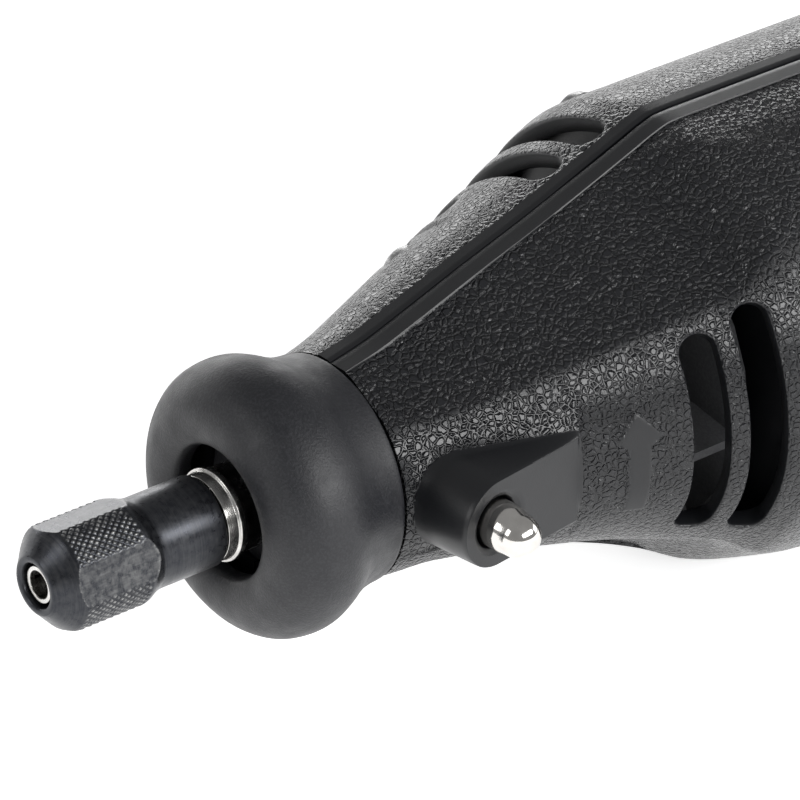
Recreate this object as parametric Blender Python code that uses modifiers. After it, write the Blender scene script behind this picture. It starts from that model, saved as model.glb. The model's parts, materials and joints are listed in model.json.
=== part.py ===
"""Rotary hobby tool: a hand-held mains mini drill with a collet, modelled as its separate pieces.

Frame: +X runs along the tool's axis from the collet to the rear, +Z is up, and the two housing
halves part in the XZ plane. The tool lies on the flat strip along its underside, so Z = 0 is that
strip and the origin is the middle of the tool's footprint.
Lengths are millimetres, given as a station S behind the collet nut's front face and a radius or a
Y and Z from the tool's axis. point() turns them into world metres.
"""

import math

import bmesh
import bpy
from mathutils import Matrix, Vector

MM = 0.001
GAP = 0.3  # running and assembly gap between neighbouring pieces
COLLECTION = "rotary_hobby_tool"

# Overall
BAIL_REAR = 233.0  # rearmost point of the hanger bail, so the tool's whole length
BODY_RADIUS = 28.95
FOOT_HALF_WIDTH = 5.2  # half of the flat strip that the tool lies on
AXIS_HEIGHT = math.sqrt(BODY_RADIUS**2 - FOOT_HALF_WIDTH**2)  # axis above that strip
WALL = 2.3
HALF_GAP = 0.15  # half of the parting gap between the housing halves

# Collet and nut
NUT_REAR = 21.9
NUT_RADIUS = 6.15
NUT_NECK_RADIUS = 5.25
NUT_FACE_RADIUS = 3.45
NUT_BORE = 2.55
NUT_FLATS = 11.2  # across the wrench flats
NUT_TURN = 75.0  # direction of the first flat, from the top towards the left
COLLET_RADIUS = 2.15
COLLET_BORE = 1.6

# Spindle and motor shaft
SPINDLE_RADIUS = 5.0
BEARING_SEAT = 4.0
SHAFT_RADIUS = 3.0
LOCK_STATION = 46.5
SHOULDER_RADIUS = 5.38

# Nose cap
CAP_FRONT = 23.6
CAP_REAR = 39.8
CAP_HOLE = 7.65
CAP_THREAD = 11.7
SPIGOT_RADIUS = 11.3
SPIGOT_FRONT = 29.4

# Housing outline: station and radius of the round body
NOSE_STATION = 40.1
HOUSING_OUTLINE = [
    (NOSE_STATION, 13.3), (44.5, 14.3), (50.0, 16.1), (58.9, 19.2), (67.1, 21.9), (74.6, 24.6),
    (81.3, 27.1), (84.8, 28.4), (86.6, 28.85), (89.0, BODY_RADIUS), (95.0, BODY_RADIUS),
    (150.0, BODY_RADIUS), (170.0, 28.6), (184.0, 27.7), (194.0, 26.3), (202.0, 23.9), (207.0, 20.8),
    (210.4, 16.6), (212.0, 11.8), (212.3, 7.8),
]
STRIP_NEAR, STRIP_FAR = 2.8, 2.1  # the top strip's edges, left and right of the parting line
PANEL_ANGLE, PANEL_DEPTH = 30.0, 0.93  # flat side panels of the left half: direction and nearness
PANEL_CLOSE = 93.5  # station where the panels run out

# Vents: middle stations, width, and the angles that they run between, from the top
VENT_STATIONS = (68.2, 74.5, 80.8)
VENT_WIDTH = 4.1
LEFT_VENTS = {74.5: (57.0, 118.0), 80.8: (54.5, 119.0)}
RIGHT_VENTS = {68.2: (-36.0, -96.0), 74.5: (-6.5, -86.0), 80.8: (-6.0, -86.0)}

# Spindle lock
BOSS_STATION, BOSS_RADIUS, BOSS_FACE, BOSS_REAR = 46.8, 4.95, 20.8, 60.2
BOSS_DRAFT = 0.7  # how much wider the boss is at its foot
BOSS_REAR_FACE = 18.7
PIN_RADIUS, PIN_SHANK, PIN_TIP, PIN_STEP, PIN_DOME = 2.75, 1.7, 5.4, 18.0, 26.8
DOME_RADIUS = 2.5
PIN_TRAVEL = 2.6
LEDGE = (9.9, 11.3)

# Controls in the rear half
SWITCH_STATION, SWITCH_TRAVEL = 176.0, 5.0
DIAL_STATION, DIAL_RADIUS = 196.0, 7.0
BRUSH_STATION = 149.5
BAIL_STATION, BAIL_ARM, BAIL_WIRE = 203.0, 26.0, 1.25

SCREWS = [(61.0, 12.3), (90.0, 21.0), (186.0, 19.0)]  # station and height either side of the axis
POST_RADIUS = 4.1

ROUND = 26  # sides of a large round piece
SMALL = 16  # sides of a small one


def point(station, y=0.0, z=0.0):
    """World position in metres of a place given in millimetres."""
    return Vector(((station - BAIL_REAR / 2) * MM, y * MM, (z + AXIS_HEIGHT) * MM))


def outline_radius(station):
    """Radius of the round body at a station."""
    for (s0, r0), (s1, r1) in zip(HOUSING_OUTLINE, HOUSING_OUTLINE[1:]):
        if s0 <= station <= s1:
            return r0 + (r1 - r0) * (station - s0) / (s1 - s0)
    return HOUSING_OUTLINE[-1][1]


# Scene and materials

for old in list(bpy.data.objects):
    bpy.data.objects.remove(old)

parts = bpy.data.collections.new(COLLECTION)
cutters = bpy.data.collections.new("cutters")
cutters.hide_render = True
for made in (parts, cutters):
    bpy.context.scene.collection.children.link(made)


def finish(name, colour, roughness, metallic=0.0):
    """A plain Principled material."""
    made = bpy.data.materials.new(name)
    made.use_nodes = True
    shader = made.node_tree.nodes["Principled BSDF"]
    shader.inputs["Base Color"].default_value = (*colour, 1.0)
    shader.inputs["Roughness"].default_value = roughness
    shader.inputs["Metallic"].default_value = metallic
    return made


BLACK_PLASTIC = finish("black_plastic", (0.018, 0.019, 0.022), 0.55)
CAP_PLASTIC = finish("cap_plastic", (0.022, 0.023, 0.026), 0.5)
BLACK_OXIDE = finish("black_oxide_steel", (0.03, 0.03, 0.034), 0.38, 0.9)
BRIGHT_STEEL = finish("bright_steel", (0.6, 0.6, 0.6), 0.25, 1.0)
POLISHED_STEEL = finish("polished_steel", (0.75, 0.73, 0.7), 0.08, 1.0)
LAMINATION = finish("lamination_steel", (0.25, 0.25, 0.26), 0.45, 1.0)
COPPER = finish("enamelled_copper", (0.55, 0.2, 0.07), 0.35, 0.8)
BRASS = finish("brass", (0.7, 0.5, 0.2), 0.3, 1.0)
CARBON = finish("carbon", (0.03, 0.03, 0.03), 0.7)
GREY_PLASTIC = finish("grey_plastic", (0.2, 0.2, 0.21), 0.5)
BOARD_GREEN = finish("board_laminate", (0.02, 0.12, 0.05), 0.5)
RUBBER = finish("rubber", (0.02, 0.02, 0.02), 0.8)


# Making pieces

def add(name, mesh, material=None, cutter=False):
    """Puts a mesh in the scene: as a piece with its material, or as a hidden cutter."""
    made = bpy.data.objects.new(name, mesh)
    if cutter:
        cutters.objects.link(made)
        made.hide_render = True
        made.display_type = "WIRE"
        return made
    parts.objects.link(made)
    mesh.materials.append(material)
    mesh.shade_smooth()
    mesh.set_sharp_from_angle(angle=math.radians(35))
    return made


def mesh_of(name, bm):
    """Turns a bmesh into a mesh with its faces pointing out."""
    bmesh.ops.recalc_face_normals(bm, faces=bm.faces)
    mesh = bpy.data.meshes.new(name)
    bm.to_mesh(mesh)
    bm.free()
    return mesh


def ring_loft(name, rings, closed=False):
    """A body through rings of equal count, capped at both ends or joined end to end."""
    bm = bmesh.new()
    rows = [[bm.verts.new(corner) for corner in ring] for ring in rings]
    pairs = list(zip(rows, rows[1:]))
    if closed:
        pairs.append((rows[-1], rows[0]))
    for row, following in pairs:
        for i in range(len(row)):
            j = (i + 1) % len(row)
            bm.faces.new((row[i], row[j], following[j], following[i]))
    if not closed:
        bm.faces.new(rows[0])
        bm.faces.new(list(reversed(rows[-1])))
    return mesh_of(name, bm)


def around(station, radius, angle):
    """A place at a radius and an angle from the top, positive towards the left side, -Y."""
    turn = math.radians(angle)
    return point(station, -radius * math.sin(turn), radius * math.cos(turn))


def spun(name, corners, place, axis, sides):
    """A profile turned about an axis through a place by a Screw modifier, as a mesh in world space.

    Corners are metres from that place. A profile that starts and ends on the axis makes a solid body,
    and any other profile is closed into a ring."""
    solid = corners[0].z == 0.0 if axis == "X" else corners[0].x == 0.0
    count = len(corners)
    edges = [(i, i + 1) for i in range(count - 1)]
    if not solid:
        edges.append((count - 1, 0))
    profile = bpy.data.meshes.new(name + "_profile")
    profile.from_pydata(corners, edges, [])
    holder = bpy.data.objects.new(name + "_profile", profile)
    holder.location = place
    cutters.objects.link(holder)
    turn = holder.modifiers.new("turn", "SCREW")
    turn.axis = axis
    turn.steps = turn.render_steps = sides
    turn.use_merge_vertices = True
    turn.merge_threshold = 0.0001 * MM
    graph = bpy.context.evaluated_depsgraph_get()
    mesh = bpy.data.meshes.new_from_object(holder.evaluated_get(graph))
    bpy.data.objects.remove(holder)
    mesh.name = name
    mesh.transform(Matrix.Translation(place))
    bm = bmesh.new()
    bm.from_mesh(mesh)
    bmesh.ops.remove_doubles(bm, verts=bm.verts, dist=0.0005 * MM)
    bmesh.ops.recalc_face_normals(bm, faces=bm.faces)
    bm.to_mesh(mesh)
    bm.free()
    return mesh


def turned_mesh(name, profile, sides=SMALL):
    """A solid of revolution about the tool's axis from a closed list of (station, radius).

    Points with radius 0 lie on the axis and close the ends."""
    middle = point(0)
    corners = [point(s, 0, r) - middle for s, r in profile]
    return spun(name, corners, middle, "X", sides)


def turned(name, profile, material, sides=SMALL):
    return add(name, turned_mesh(name, profile, sides), material)


def washer(name, s0, s1, r0, r1, material, sides=SMALL):
    """A plain ring between two stations and two radii."""
    return turned(name, [(s0, r0), (s0, r1), (s1, r1), (s1, r0)], material, sides)


def box_mesh(name, s0, s1, y0, y1, z0, z1):
    bm = bmesh.new()
    bmesh.ops.create_cube(bm, size=1.0)
    low, high = point(s0, y0, z0), point(s1, y1, z1)
    size = high - low
    bmesh.ops.scale(bm, vec=size, verts=bm.verts)
    bmesh.ops.translate(bm, vec=(low + high) / 2, verts=bm.verts)
    return mesh_of(name, bm)


def turn_mesh(mesh, angle):
    """Turns a mesh about the tool's axis, from the top towards the left."""
    mesh.transform(Matrix.Translation(-point(0)))
    mesh.transform(Matrix.Rotation(math.radians(angle), 4, "X"))
    mesh.transform(Matrix.Translation(point(0)))
    return mesh


def box(name, s0, s1, y0, y1, z0, z1, material):
    return add(name, box_mesh(name, s0, s1, y0, y1, z0, z1), material)


def rod_mesh(name, station, z, y0, y1, radius, sides=16, second=None):
    """A round rod along Y, or a cone to a second radius at y1."""
    bm = bmesh.new()
    bmesh.ops.create_cone(
        bm, cap_ends=True, segments=sides, radius1=radius * MM,
        radius2=(radius if second is None else second) * MM, depth=abs(y1 - y0) * MM,
    )
    turn = Matrix.Rotation(math.radians(-90 if y1 > y0 else 90), 3, "X")
    bmesh.ops.rotate(bm, matrix=turn, verts=bm.verts)
    bmesh.ops.translate(bm, vec=point(station, (y0 + y1) / 2, z), verts=bm.verts)
    return mesh_of(name, bm)


def y_turned_mesh(name, station, z, profile, sides=SMALL):
    """A solid of revolution about a line along Y, from (y, radius) pairs, flat at both ends."""
    ends = [(profile[0][0], 0.0), *profile, (profile[-1][0], 0.0)]
    corners = [Vector((radius * MM, y * MM, 0.0)) for y, radius in ends]
    return spun(name, corners, point(station, 0, z), "Y", sides)


def combine(target, other, operation="DIFFERENCE"):
    """Adds a Boolean with a hidden helper mesh or object.

    The housing halves take so many cuts that only the manifold solver keeps them closed."""
    if not isinstance(other, bpy.types.Object):
        other = add("helper_" + other.name, other, cutter=True)
    step = target.modifiers.new(operation.lower(), "BOOLEAN")
    step.operation = operation
    step.solver = "MANIFOLD" if target.name.startswith("housing_") else "EXACT"
    step.object = other
    return other


def tube(name, points, radius, material, closed=False, resolution=2):
    """A wire through points in metres, as a mesh with welded caps."""
    data = bpy.data.curves.new(name, "CURVE")
    data.dimensions = "3D"
    data.bevel_depth = radius * MM
    data.bevel_resolution = resolution
    data.use_fill_caps = not closed
    spline = data.splines.new("POLY")
    spline.points.add(len(points) - 1)
    for place, corner in zip(spline.points, points):
        place.co = (*corner, 1.0)
    spline.use_cyclic_u = closed
    holder = bpy.data.objects.new(name + "_path", data)
    cutters.objects.link(holder)
    graph = bpy.context.evaluated_depsgraph_get()
    mesh = bpy.data.meshes.new_from_object(holder.evaluated_get(graph))
    bpy.data.objects.remove(holder)
    bm = bmesh.new()
    bm.from_mesh(mesh)
    bmesh.ops.remove_doubles(bm, verts=bm.verts, dist=0.01 * MM)
    bmesh.ops.recalc_face_normals(bm, faces=bm.faces)
    bm.to_mesh(mesh)
    bm.free()
    mesh.materials.clear()
    return add(name, mesh, material)


def y_spring(name, station, z, y0, y1, radius, wire, turns, material):
    """A coil spring along Y between two Y places."""
    steps = 6
    count = turns * steps
    start = min(y0, y1) + wire
    rise = abs(y1 - y0) - 2 * wire
    points = []
    for i in range(count + 1):
        turn = 2 * math.pi * i / steps
        y = start + rise * i / count
        points.append(point(station + radius * math.cos(turn), y, z + radius * math.sin(turn)))
    return tube(name, points, wire, material, resolution=1)


# Housing halves

def panel_radius(station, angle):
    """Radius of the left half: round, with a flat panel above and below its middle."""
    radius = outline_radius(station)
    lean = min(abs(angle - PANEL_ANGLE), abs(180.0 - PANEL_ANGLE - angle))
    run_out = max(0.0, min(1.0, (station - 80.0) / (PANEL_CLOSE - 80.0)))
    near = radius * (PANEL_DEPTH + (1.0 - PANEL_DEPTH) * run_out * run_out)
    return min(radius, near / math.cos(math.radians(lean)))


def half_section(station, side):
    """Corners of one half's outer section, from the top strip round to the foot strip."""
    radius = outline_radius(station)
    strip = STRIP_NEAR if side == "left" else STRIP_FAR
    foot = FOOT_HALF_WIDTH * min(1.0, radius / 20.0)
    if station > BAIL_STATION - 5:
        strip = radius / 12.0
        foot = radius / 12.0
    first = math.degrees(math.asin(min(strip / radius, 0.9)))
    last = 180.0 - math.degrees(math.asin(min(foot / radius, 0.9)))
    if side == "left":
        inner = [18, 30, 42, 51, 57, 68, 79, 90, 101, 112, 123, 129, 138, 150, 162]
        angles = [first] + inner + [last]
        spread = [(panel_radius(station, a), a) for a in angles]
    else:
        count = 15
        angles = [first + (last - first) * i / count for i in range(count + 1)]
        spread = [(radius, a) for a in angles]
    sign = -1.0 if side == "left" else 1.0
    top = spread[0][0] * math.cos(math.radians(first))
    low = spread[-1][0] * math.cos(math.radians(last))
    corners = [(sign * HALF_GAP, top)]
    for r, a in spread:
        turn = math.radians(a)
        corners.append((sign * max(r * math.sin(turn), HALF_GAP * 2), r * math.cos(turn)))
    corners.append((sign * HALF_GAP, low))
    return [point(station, y, z) for y, z in corners]


def housing_shell(name, side):
    """One half of the clamshell: an open lofted surface, made solid by its wall thickness."""
    bm = bmesh.new()
    rows = [[bm.verts.new(c) for c in half_section(s, side)] for s, _ in HOUSING_OUTLINE]
    for row, following in zip(rows, rows[1:]):
        for i in range(len(row) - 1):
            bm.faces.new((row[i], row[i + 1], following[i + 1], following[i]))
    bmesh.ops.recalc_face_normals(bm, faces=bm.faces)
    middle = rows[len(rows) // 2][8]
    outward = middle.co - point(HOUSING_OUTLINE[len(rows) // 2][0])
    if middle.normal.dot(outward) < 0:
        bmesh.ops.reverse_faces(bm, faces=bm.faces)
    mesh = bpy.data.meshes.new(name)
    bm.to_mesh(mesh)
    bm.free()
    shell = add(name, mesh, BLACK_PLASTIC)
    wall = shell.modifiers.new("wall", "SOLIDIFY")
    wall.thickness = WALL * MM
    wall.offset = -1.0
    wall.use_even_offset = True
    return shell


def half_of(mesh, side):
    """A full turned body cut back to one side of the parting plane."""
    ring = add("half_" + side + "_" + mesh.name, mesh.copy(), cutter=True)
    sign = -1 if side == "left" else 1
    low, high = sorted((sign * HALF_GAP, sign * 40.0))
    space = add("space_" + ring.name, box_mesh("space", 20, 220, low, high, -40, 40), cutter=True)
    combine(ring, space, "INTERSECT")
    return ring


def vent_mesh(name, station, start, end):
    """A round-ended slot that follows the body round, as a solid to cut with."""
    steps = 8
    cap = 6.0  # degrees over which each end rounds off
    rings = []
    for i in range(steps + 1):
        part = i / steps
        angle = start + (end - start) * part
        inset = min(abs(angle - start), abs(end - angle)) / cap
        half = VENT_WIDTH / 2 * (0.45 + 0.55 * math.sqrt(max(0.0, 1 - (1 - min(inset, 1.0)) ** 2)))
        rings.append([
            around(station - half, 14.0, angle), around(station + half, 14.0, angle),
            around(station + half, 36.0, angle), around(station - half, 36.0, angle),
        ])
    return ring_loft(name, rings)


def web(s0, s1, bore):
    """A bulkhead that carries a bearing: its bore, and its rim sunk in the housing wall."""
    rims = [(s, outline_radius(s) - WALL / 2) for s in (s0, s1)]
    return turned_mesh("web", [(s0, bore), *rims, (s1, bore)], SMALL)


def inside_wall():
    """The space up to the middle of the wall, which the screw posts are cut back to."""
    rims = [(s, r - 1.3) for s, r in HOUSING_OUTLINE if 45 < s < 205]
    return turned_mesh("inside", [(rims[0][0], 0.0), *rims, (rims[-1][0], 0.0)], ROUND)


def boss_mesh():
    """The lock button's boss: round at the front, drafted, with its end face leaning to the rear."""
    steps = 10
    front = [math.pi / 2 + math.pi * i / steps for i in range(steps + 1)]

    def outline(radius, near, far):
        rim = []
        for turn in front:
            rim.append(point(BOSS_STATION + radius * math.cos(turn), -near, radius * math.sin(turn)))
        rim.append(point(BOSS_REAR, -far, -radius))
        rim.append(point(BOSS_REAR, -far, radius))
        return rim

    foot = outline(BOSS_RADIUS + BOSS_DRAFT, 11.7, 14.0)
    edge = outline(BOSS_RADIUS + 0.15, BOSS_FACE - 0.7, BOSS_REAR_FACE - 0.5)
    face = outline(BOSS_RADIUS - 0.5, BOSS_FACE, BOSS_REAR_FACE)
    return ring_loft("boss", [foot, edge, face])


def screw_posts(half, side, station, height):
    """Both posts of one pair of screws, and their holes."""
    sign = -1 if side == "left" else 1
    reach = math.sqrt(outline_radius(station) ** 2 - height**2)
    for z in (height, -height):
        rod = rod_mesh("post", station, z, sign * HALF_GAP, sign * (reach + 2), POST_RADIUS, 10)
        post = add("post", rod, cutter=True)
        combine(post, inside_wall(), "INTERSECT")
        combine(half, post, "UNION")
        if side == "left":
            combine(half, rod_mesh("pilot", station, z, 1.0, sign * (reach - 3.0), 1.6, 8))
        else:
            combine(half, rod_mesh("clearance", station, z, -1.0, sign * (reach + 3), 1.9, 8))
            combine(half, rod_mesh("counterbore", station, z, sign * (reach - 4), sign * 34, 3.3, 12))


def housing_half(name, side):
    half = housing_shell(name, side)
    spigot = [
        (SPIGOT_FRONT, 8.0), (SPIGOT_FRONT, SPIGOT_RADIUS), (NOSE_STATION + 0.4, SPIGOT_RADIUS),
        (NOSE_STATION + 0.9, 12.4), (46.5, 14.0), (46.5, 12.6), (43.0, 9.8), (39.3, 9.2), (38.6, 8.0),
        (37.9, 8.0), (37.9, 9.5), (31.0, 9.5), (31.0, 8.0),
    ]
    webs = [
        turned_mesh("spigot", spigot, SMALL),
        web(50.6, 58.9, 9.5),
        web(86.0, 94.0, 9.5),
        web(157.0, 165.5, 10.8),
    ]
    for ring in webs:
        combine(half, half_of(ring, side), "UNION")
    vents = LEFT_VENTS if side == "left" else RIGHT_VENTS
    for station, (start, end) in vents.items():
        combine(half, vent_mesh("vent", station, start, end))
    for station, height in SCREWS:
        screw_posts(half, side, station, height)
    sign = -1 if side == "left" else 1
    for angle in (45.0, 135.0):
        turn = math.radians(angle)
        for s0, s1 in ((84.0, 96.0), (155.0, 167.0)):
            air = turned_mesh("air", [(s0, 0.0), (s0, 4.6), (s1, 4.6), (s1, 0.0)], 10)
            across = Vector((0, sign * 17.5 * math.sin(turn) * MM, 17.5 * math.cos(turn) * MM))
            air.transform(Matrix.Translation(across))
            combine(half, air)
    combine(half, rod_mesh("brush_hole", BRUSH_STATION, 0, sign * 22, sign * 34, 5.4, SMALL))
    for z in (1, -1):
        seat = turned_mesh("bail_seat", [(0, 0.0), (0, 1.6), (8, 1.6), (8, 0.0)], 12)
        seat.transform(Matrix.Translation(-point(0)))
        seat.transform(Matrix.Rotation(math.radians(-90 * z), 4, "Y"))
        seat.transform(Matrix.Translation(point(BAIL_STATION, 0, 19.0 * z)))
        combine(half, seat)
    return half


def left_features(half):
    """The lock boss, the switch window and the dial hole of the left half."""
    combine(half, boss_mesh(), "UNION")
    combine(half, rod_mesh("guide", LOCK_STATION, 0, -LEDGE[0], -15.2, 4.8, 20), "UNION")
    combine(half, rod_mesh("pin_way", LOCK_STATION, 0, -LEDGE[1], -30.0, PIN_RADIUS + GAP, SMALL))
    combine(half, rod_mesh("shank_way", LOCK_STATION, 0, -7.0, -14.0, PIN_SHANK + GAP, SMALL))
    pocket = box_mesh("pocket", SWITCH_STATION - 14, SWITCH_STATION + 9, -36, -27.3, -6, 6)
    combine(half, pocket)
    window = box_mesh("window", SWITCH_STATION - 9.6, SWITCH_STATION + 4.6, -36, -20, -3.6, 3.6)
    combine(half, window)
    slide_way = box_mesh("slide_way", SWITCH_STATION - 15, SWITCH_STATION - 9, -25.4, -23.2, -5.6, 5.6)
    combine(half, slide_way)
    combine(half, rod_mesh("dial_hole", DIAL_STATION, 0, -20.0, -34.0, DIAL_RADIUS + 0.4, 20))


housing_left = housing_half("housing_left", "left")
left_features(housing_left)
housing_right = housing_half("housing_right", "right")

cap_profile = [
    (CAP_FRONT + 1.2, CAP_HOLE), (CAP_FRONT + 0.4, 8.3), (CAP_FRONT, 9.6), (CAP_FRONT + 0.1, 11.2),
    (24.5, 12.9), (25.8, 14.4), (27.6, 15.5), (29.6, 16.0), (31.4, 15.9), (33.1, 15.3), (34.7, 14.5),
    (36.4, 13.8), (38.2, 13.45), (CAP_REAR, 13.4), (CAP_REAR, CAP_THREAD), (28.4, CAP_THREAD),
    (28.4, 10.0), (26.4, CAP_HOLE),
]
turned("nose_cap", cap_profile, CAP_PLASTIC, ROUND)

for number, (screw_station, screw_height) in enumerate(SCREWS):
    for upper in (1, -1):
        reach = math.sqrt(outline_radius(screw_station) ** 2 - screw_height**2)
        name = f"housing_screw_{number * 2 + (1 if upper == 1 else 2)}"
        seat = reach - 4.0
        body = y_turned_mesh(
            name, screw_station, upper * screw_height,
            [(-seat + 2.5, 0.7), (-seat + 4.0, 1.3), (seat + GAP, 1.3), (seat + GAP, 2.9),
             (seat + 1.6, 2.9), (seat + 2.4, 2.2)], 12,
        )
        screw = add(name, body, BRIGHT_STEEL)
        drive = box_mesh(
            "drive", screw_station - 1.5, screw_station + 1.5, seat + 1.4, seat + 4,
            upper * screw_height - 0.35, upper * screw_height + 0.35,
        )
        combine(screw, drive)


# Collet, nut and spindle

nut_profile = [
    (0.0, NUT_BORE), (0.0, NUT_FACE_RADIUS), (0.3, 3.75), (2.4, NUT_RADIUS - 0.2), (2.9, NUT_RADIUS),
    (11.2, NUT_RADIUS), (12.0, 5.95), (13.2, 5.4), (14.0, NUT_NECK_RADIUS), (NUT_REAR - 0.4, NUT_NECK_RADIUS),
    (NUT_REAR, NUT_NECK_RADIUS - 0.3), (NUT_REAR, 4.3), (5.4, 4.3), (3.4, 3.5), (1.0, NUT_BORE),
]
nut = turned("collet_nut", nut_profile, BLACK_OXIDE, ROUND)
for quarter in range(4):
    flat = box_mesh("flat", -1.0, 16.0, -5, 5, NUT_FLATS / 2, 9)
    combine(nut, turn_mesh(flat, NUT_TURN + 90 * quarter))

collet = turned(
    "collet",
    [(0.5, COLLET_BORE), (0.5, COLLET_RADIUS), (1.1, COLLET_RADIUS), (3.2, 3.1), (4.6, 3.1),
     (6.6, COLLET_RADIUS), (18.0, COLLET_RADIUS), (18.0, COLLET_BORE)],
    BRIGHT_STEEL,
)
for third in range(3):
    slit = box_mesh("slit", -2, 13, -0.2, 0.2, 0.4, 5)
    combine(collet, turn_mesh(slit, 120 * third + 30))

spindle = turned(
    "spindle",
    [(20.5, 0.0), (20.5, 2.45), (7.3, 2.45), (5.6, 3.3), (5.6, 3.7), (6.0, 4.0), (22.2, 4.0), (22.2, 4.95),
     (23.5, 5.05), (23.65, SHOULDER_RADIUS), (24.4, SHOULDER_RADIUS), (24.4, 4.6), (26.0, 4.6), (26.0, SPINDLE_RADIUS), (30.7, SPINDLE_RADIUS),
     (30.7, BEARING_SEAT), (37.8, BEARING_SEAT), (37.8, SPINDLE_RADIUS), (51.2, SPINDLE_RADIUS),
     (51.2, BEARING_SEAT), (58.6, BEARING_SEAT), (58.6, 3.5), (64.5, 3.5), (64.5, 0.0)],
    BRIGHT_STEEL,
)
combine(spindle, rod_mesh("lock_hole", LOCK_STATION, 0, -8, 8, PIN_SHANK + 0.35, 16))

washer("front_bearing_inner", 31.4, 37.4, 4.3, 5.7, BRIGHT_STEEL)
washer("front_bearing_outer", 31.4, 37.4, 7.7, 9.2, BRIGHT_STEEL)
cage = washer("front_bearing_cage", 33.6, 35.2, 6.2, 7.2, BRASS)
for ball in range(8):
    bm = bmesh.new()
    bmesh.ops.create_uvsphere(bm, u_segments=10, v_segments=6, radius=0.68 * MM)
    bmesh.ops.translate(bm, vec=around(34.4, 6.7, 45 * ball), verts=bm.verts)
    combine(cage, mesh_of("ball", bm), "UNION")
washer("dust_washer", 29.7, 30.4, 5.3, 7.7, CAP_PLASTIC)

for label, first_station, bore, split, rim in (
    ("spindle_bearing", 51.6, 4.3, 6.4, 9.2),
    ("motor_bearing", 87.0, 3.3, 5.9, 9.2),
    ("rear_bearing", 158.2, 3.3, 5.4, 8.0),
):
    washer(label + "_inner", first_station, first_station + 6.4, bore, split, BRIGHT_STEEL)
    washer(label + "_outer", first_station, first_station + 6.4, split + GAP, rim, BRIGHT_STEEL)
washer("rear_bearing_boot", 157.8, 165.0, 8.3, 10.5, RUBBER)

coupling = washer("shaft_coupling", 59.4, 71.4, 3.8, 7.0, RUBBER)
combine(coupling, turned_mesh("middle", [(64.8, 0.0), (64.8, 5.0), (66.0, 5.0), (66.0, 0.0)], 16), "UNION")

# Motor

turned(
    "armature_shaft",
    [(66.3, 0.0), (66.3, 2.7), (66.6, SHAFT_RADIUS), (168.0, SHAFT_RADIUS), (168.4, 2.7), (168.4, 0.0)],
    BRIGHT_STEEL, 16,
)

fan = washer("fan", 73.4, 84.0, 3.3, 6.0, GREY_PLASTIC)
disc = turned_mesh("disc", [(82.6, 4.6), (82.6, 20.0), (83.8, 20.0), (83.8, 4.6)], 24)
combine(fan, disc, "UNION")
for blade in range(8):
    vane = box_mesh("vane", 74.4, 83.0, -0.6, 0.6, 5.0, 19.6)
    combine(fan, turn_mesh(vane, 45 * blade + 10), "UNION")

core = washer("armature_core", 101.0, 133.0, 3.3, 13.9, LAMINATION, 24)
for slot in range(12):
    groove = box_mesh("groove", 98, 136, -0.9, 0.9, 8.5, 16)
    combine(core, turn_mesh(groove, 30 * slot))
for label, s0, s1 in (("front", 95.4, 100.7), ("rear", 133.3, 138.8)):
    turned(
        "armature_winding_" + label,
        [(s0, 4.0), (s0, 9.0), (s0 + 1.2, 11.3), (s1 - 1.0, 11.6), (s1, 10.6), (s1, 4.0)], COPPER,
    )
turned(
    "commutator",
    [(142.0, 3.3), (142.0, 10.2), (144.0, 10.2), (144.0, 8.9), (155.0, 8.9), (155.0, 3.3)], COPPER,
)

stator = washer("stator_core", 100.0, 134.0, 19.6, 25.6, LAMINATION, 24)
air_gap = turned_mesh("air_gap", [(90, 0.0), (90, 14.6), (144, 14.6), (144, 0.0)], 24)
for side in (1, -1):
    low, high = sorted((side * 12.0, side * 22.0))
    pole = add("pole", box_mesh("pole", 100.0, 134.0, -8.4, 8.4, low, high), cutter=True)
    combine(pole, air_gap.copy())
    combine(stator, pole, "UNION")

for side, label in ((0.0, "upper"), (180.0, "lower")):
    path = []
    corner = [(-40, 101), (-40, 133), (-34, 136.4), (-12, 137.4), (12, 137.4), (34, 136.4)]
    corner += [(40, 133), (40, 101), (34, 97.6), (12, 96.6), (-12, 96.6), (-34, 97.6)]
    for angle, station in corner:
        bulge = 17.2 if 100 < station < 134 else 17.9
        path.append(around(station, bulge, side + angle))
    tube("field_coil_" + label, path, 1.9, COPPER, closed=True)

# Brushes

for side, label in ((-1, "left"), (1, "right")):
    holder_low, holder_high = sorted((side * 11.2, side * 23.4))
    holder = box(
        "brush_holder_" + label, BRUSH_STATION - 4.4, BRUSH_STATION + 4.4, holder_low, holder_high,
        -4.9, 4.9, BRASS,
    )
    bore_low, bore_high = sorted((side * 8.0, side * 26.0))
    combine(holder, box_mesh("bore", BRUSH_STATION - 2.9, BRUSH_STATION + 2.9, bore_low, bore_high, -3.4, 3.4))
    brush_low, brush_high = sorted((side * 9.3, side * 16.6))
    box(
        "carbon_brush_" + label, BRUSH_STATION - 2.5, BRUSH_STATION + 2.5, brush_low, brush_high,
        -3.0, 3.0, CARBON,
    )
    y_spring("brush_spring_" + label, BRUSH_STATION, 0, side * 16.9, side * 23.5, 1.9, 0.3, 4, BRIGHT_STEEL)
    brush_cap = add(
        "brush_cap_" + label,
        y_turned_mesh(
            "cap", BRUSH_STATION, 0,
            [(side * 23.8, 4.6), (side * 24.6, 5.0), (side * 28.2, 5.0), (side * 28.6, 4.6)],
        ),
        BLACK_PLASTIC,
    )
    slot_low, slot_high = sorted((side * 27.2, side * 30.0))
    combine(
        brush_cap,
        box_mesh("slot", BRUSH_STATION - 5.4, BRUSH_STATION + 5.4, slot_low, slot_high, -0.6, 0.6),
    )

# Spindle lock

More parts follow.
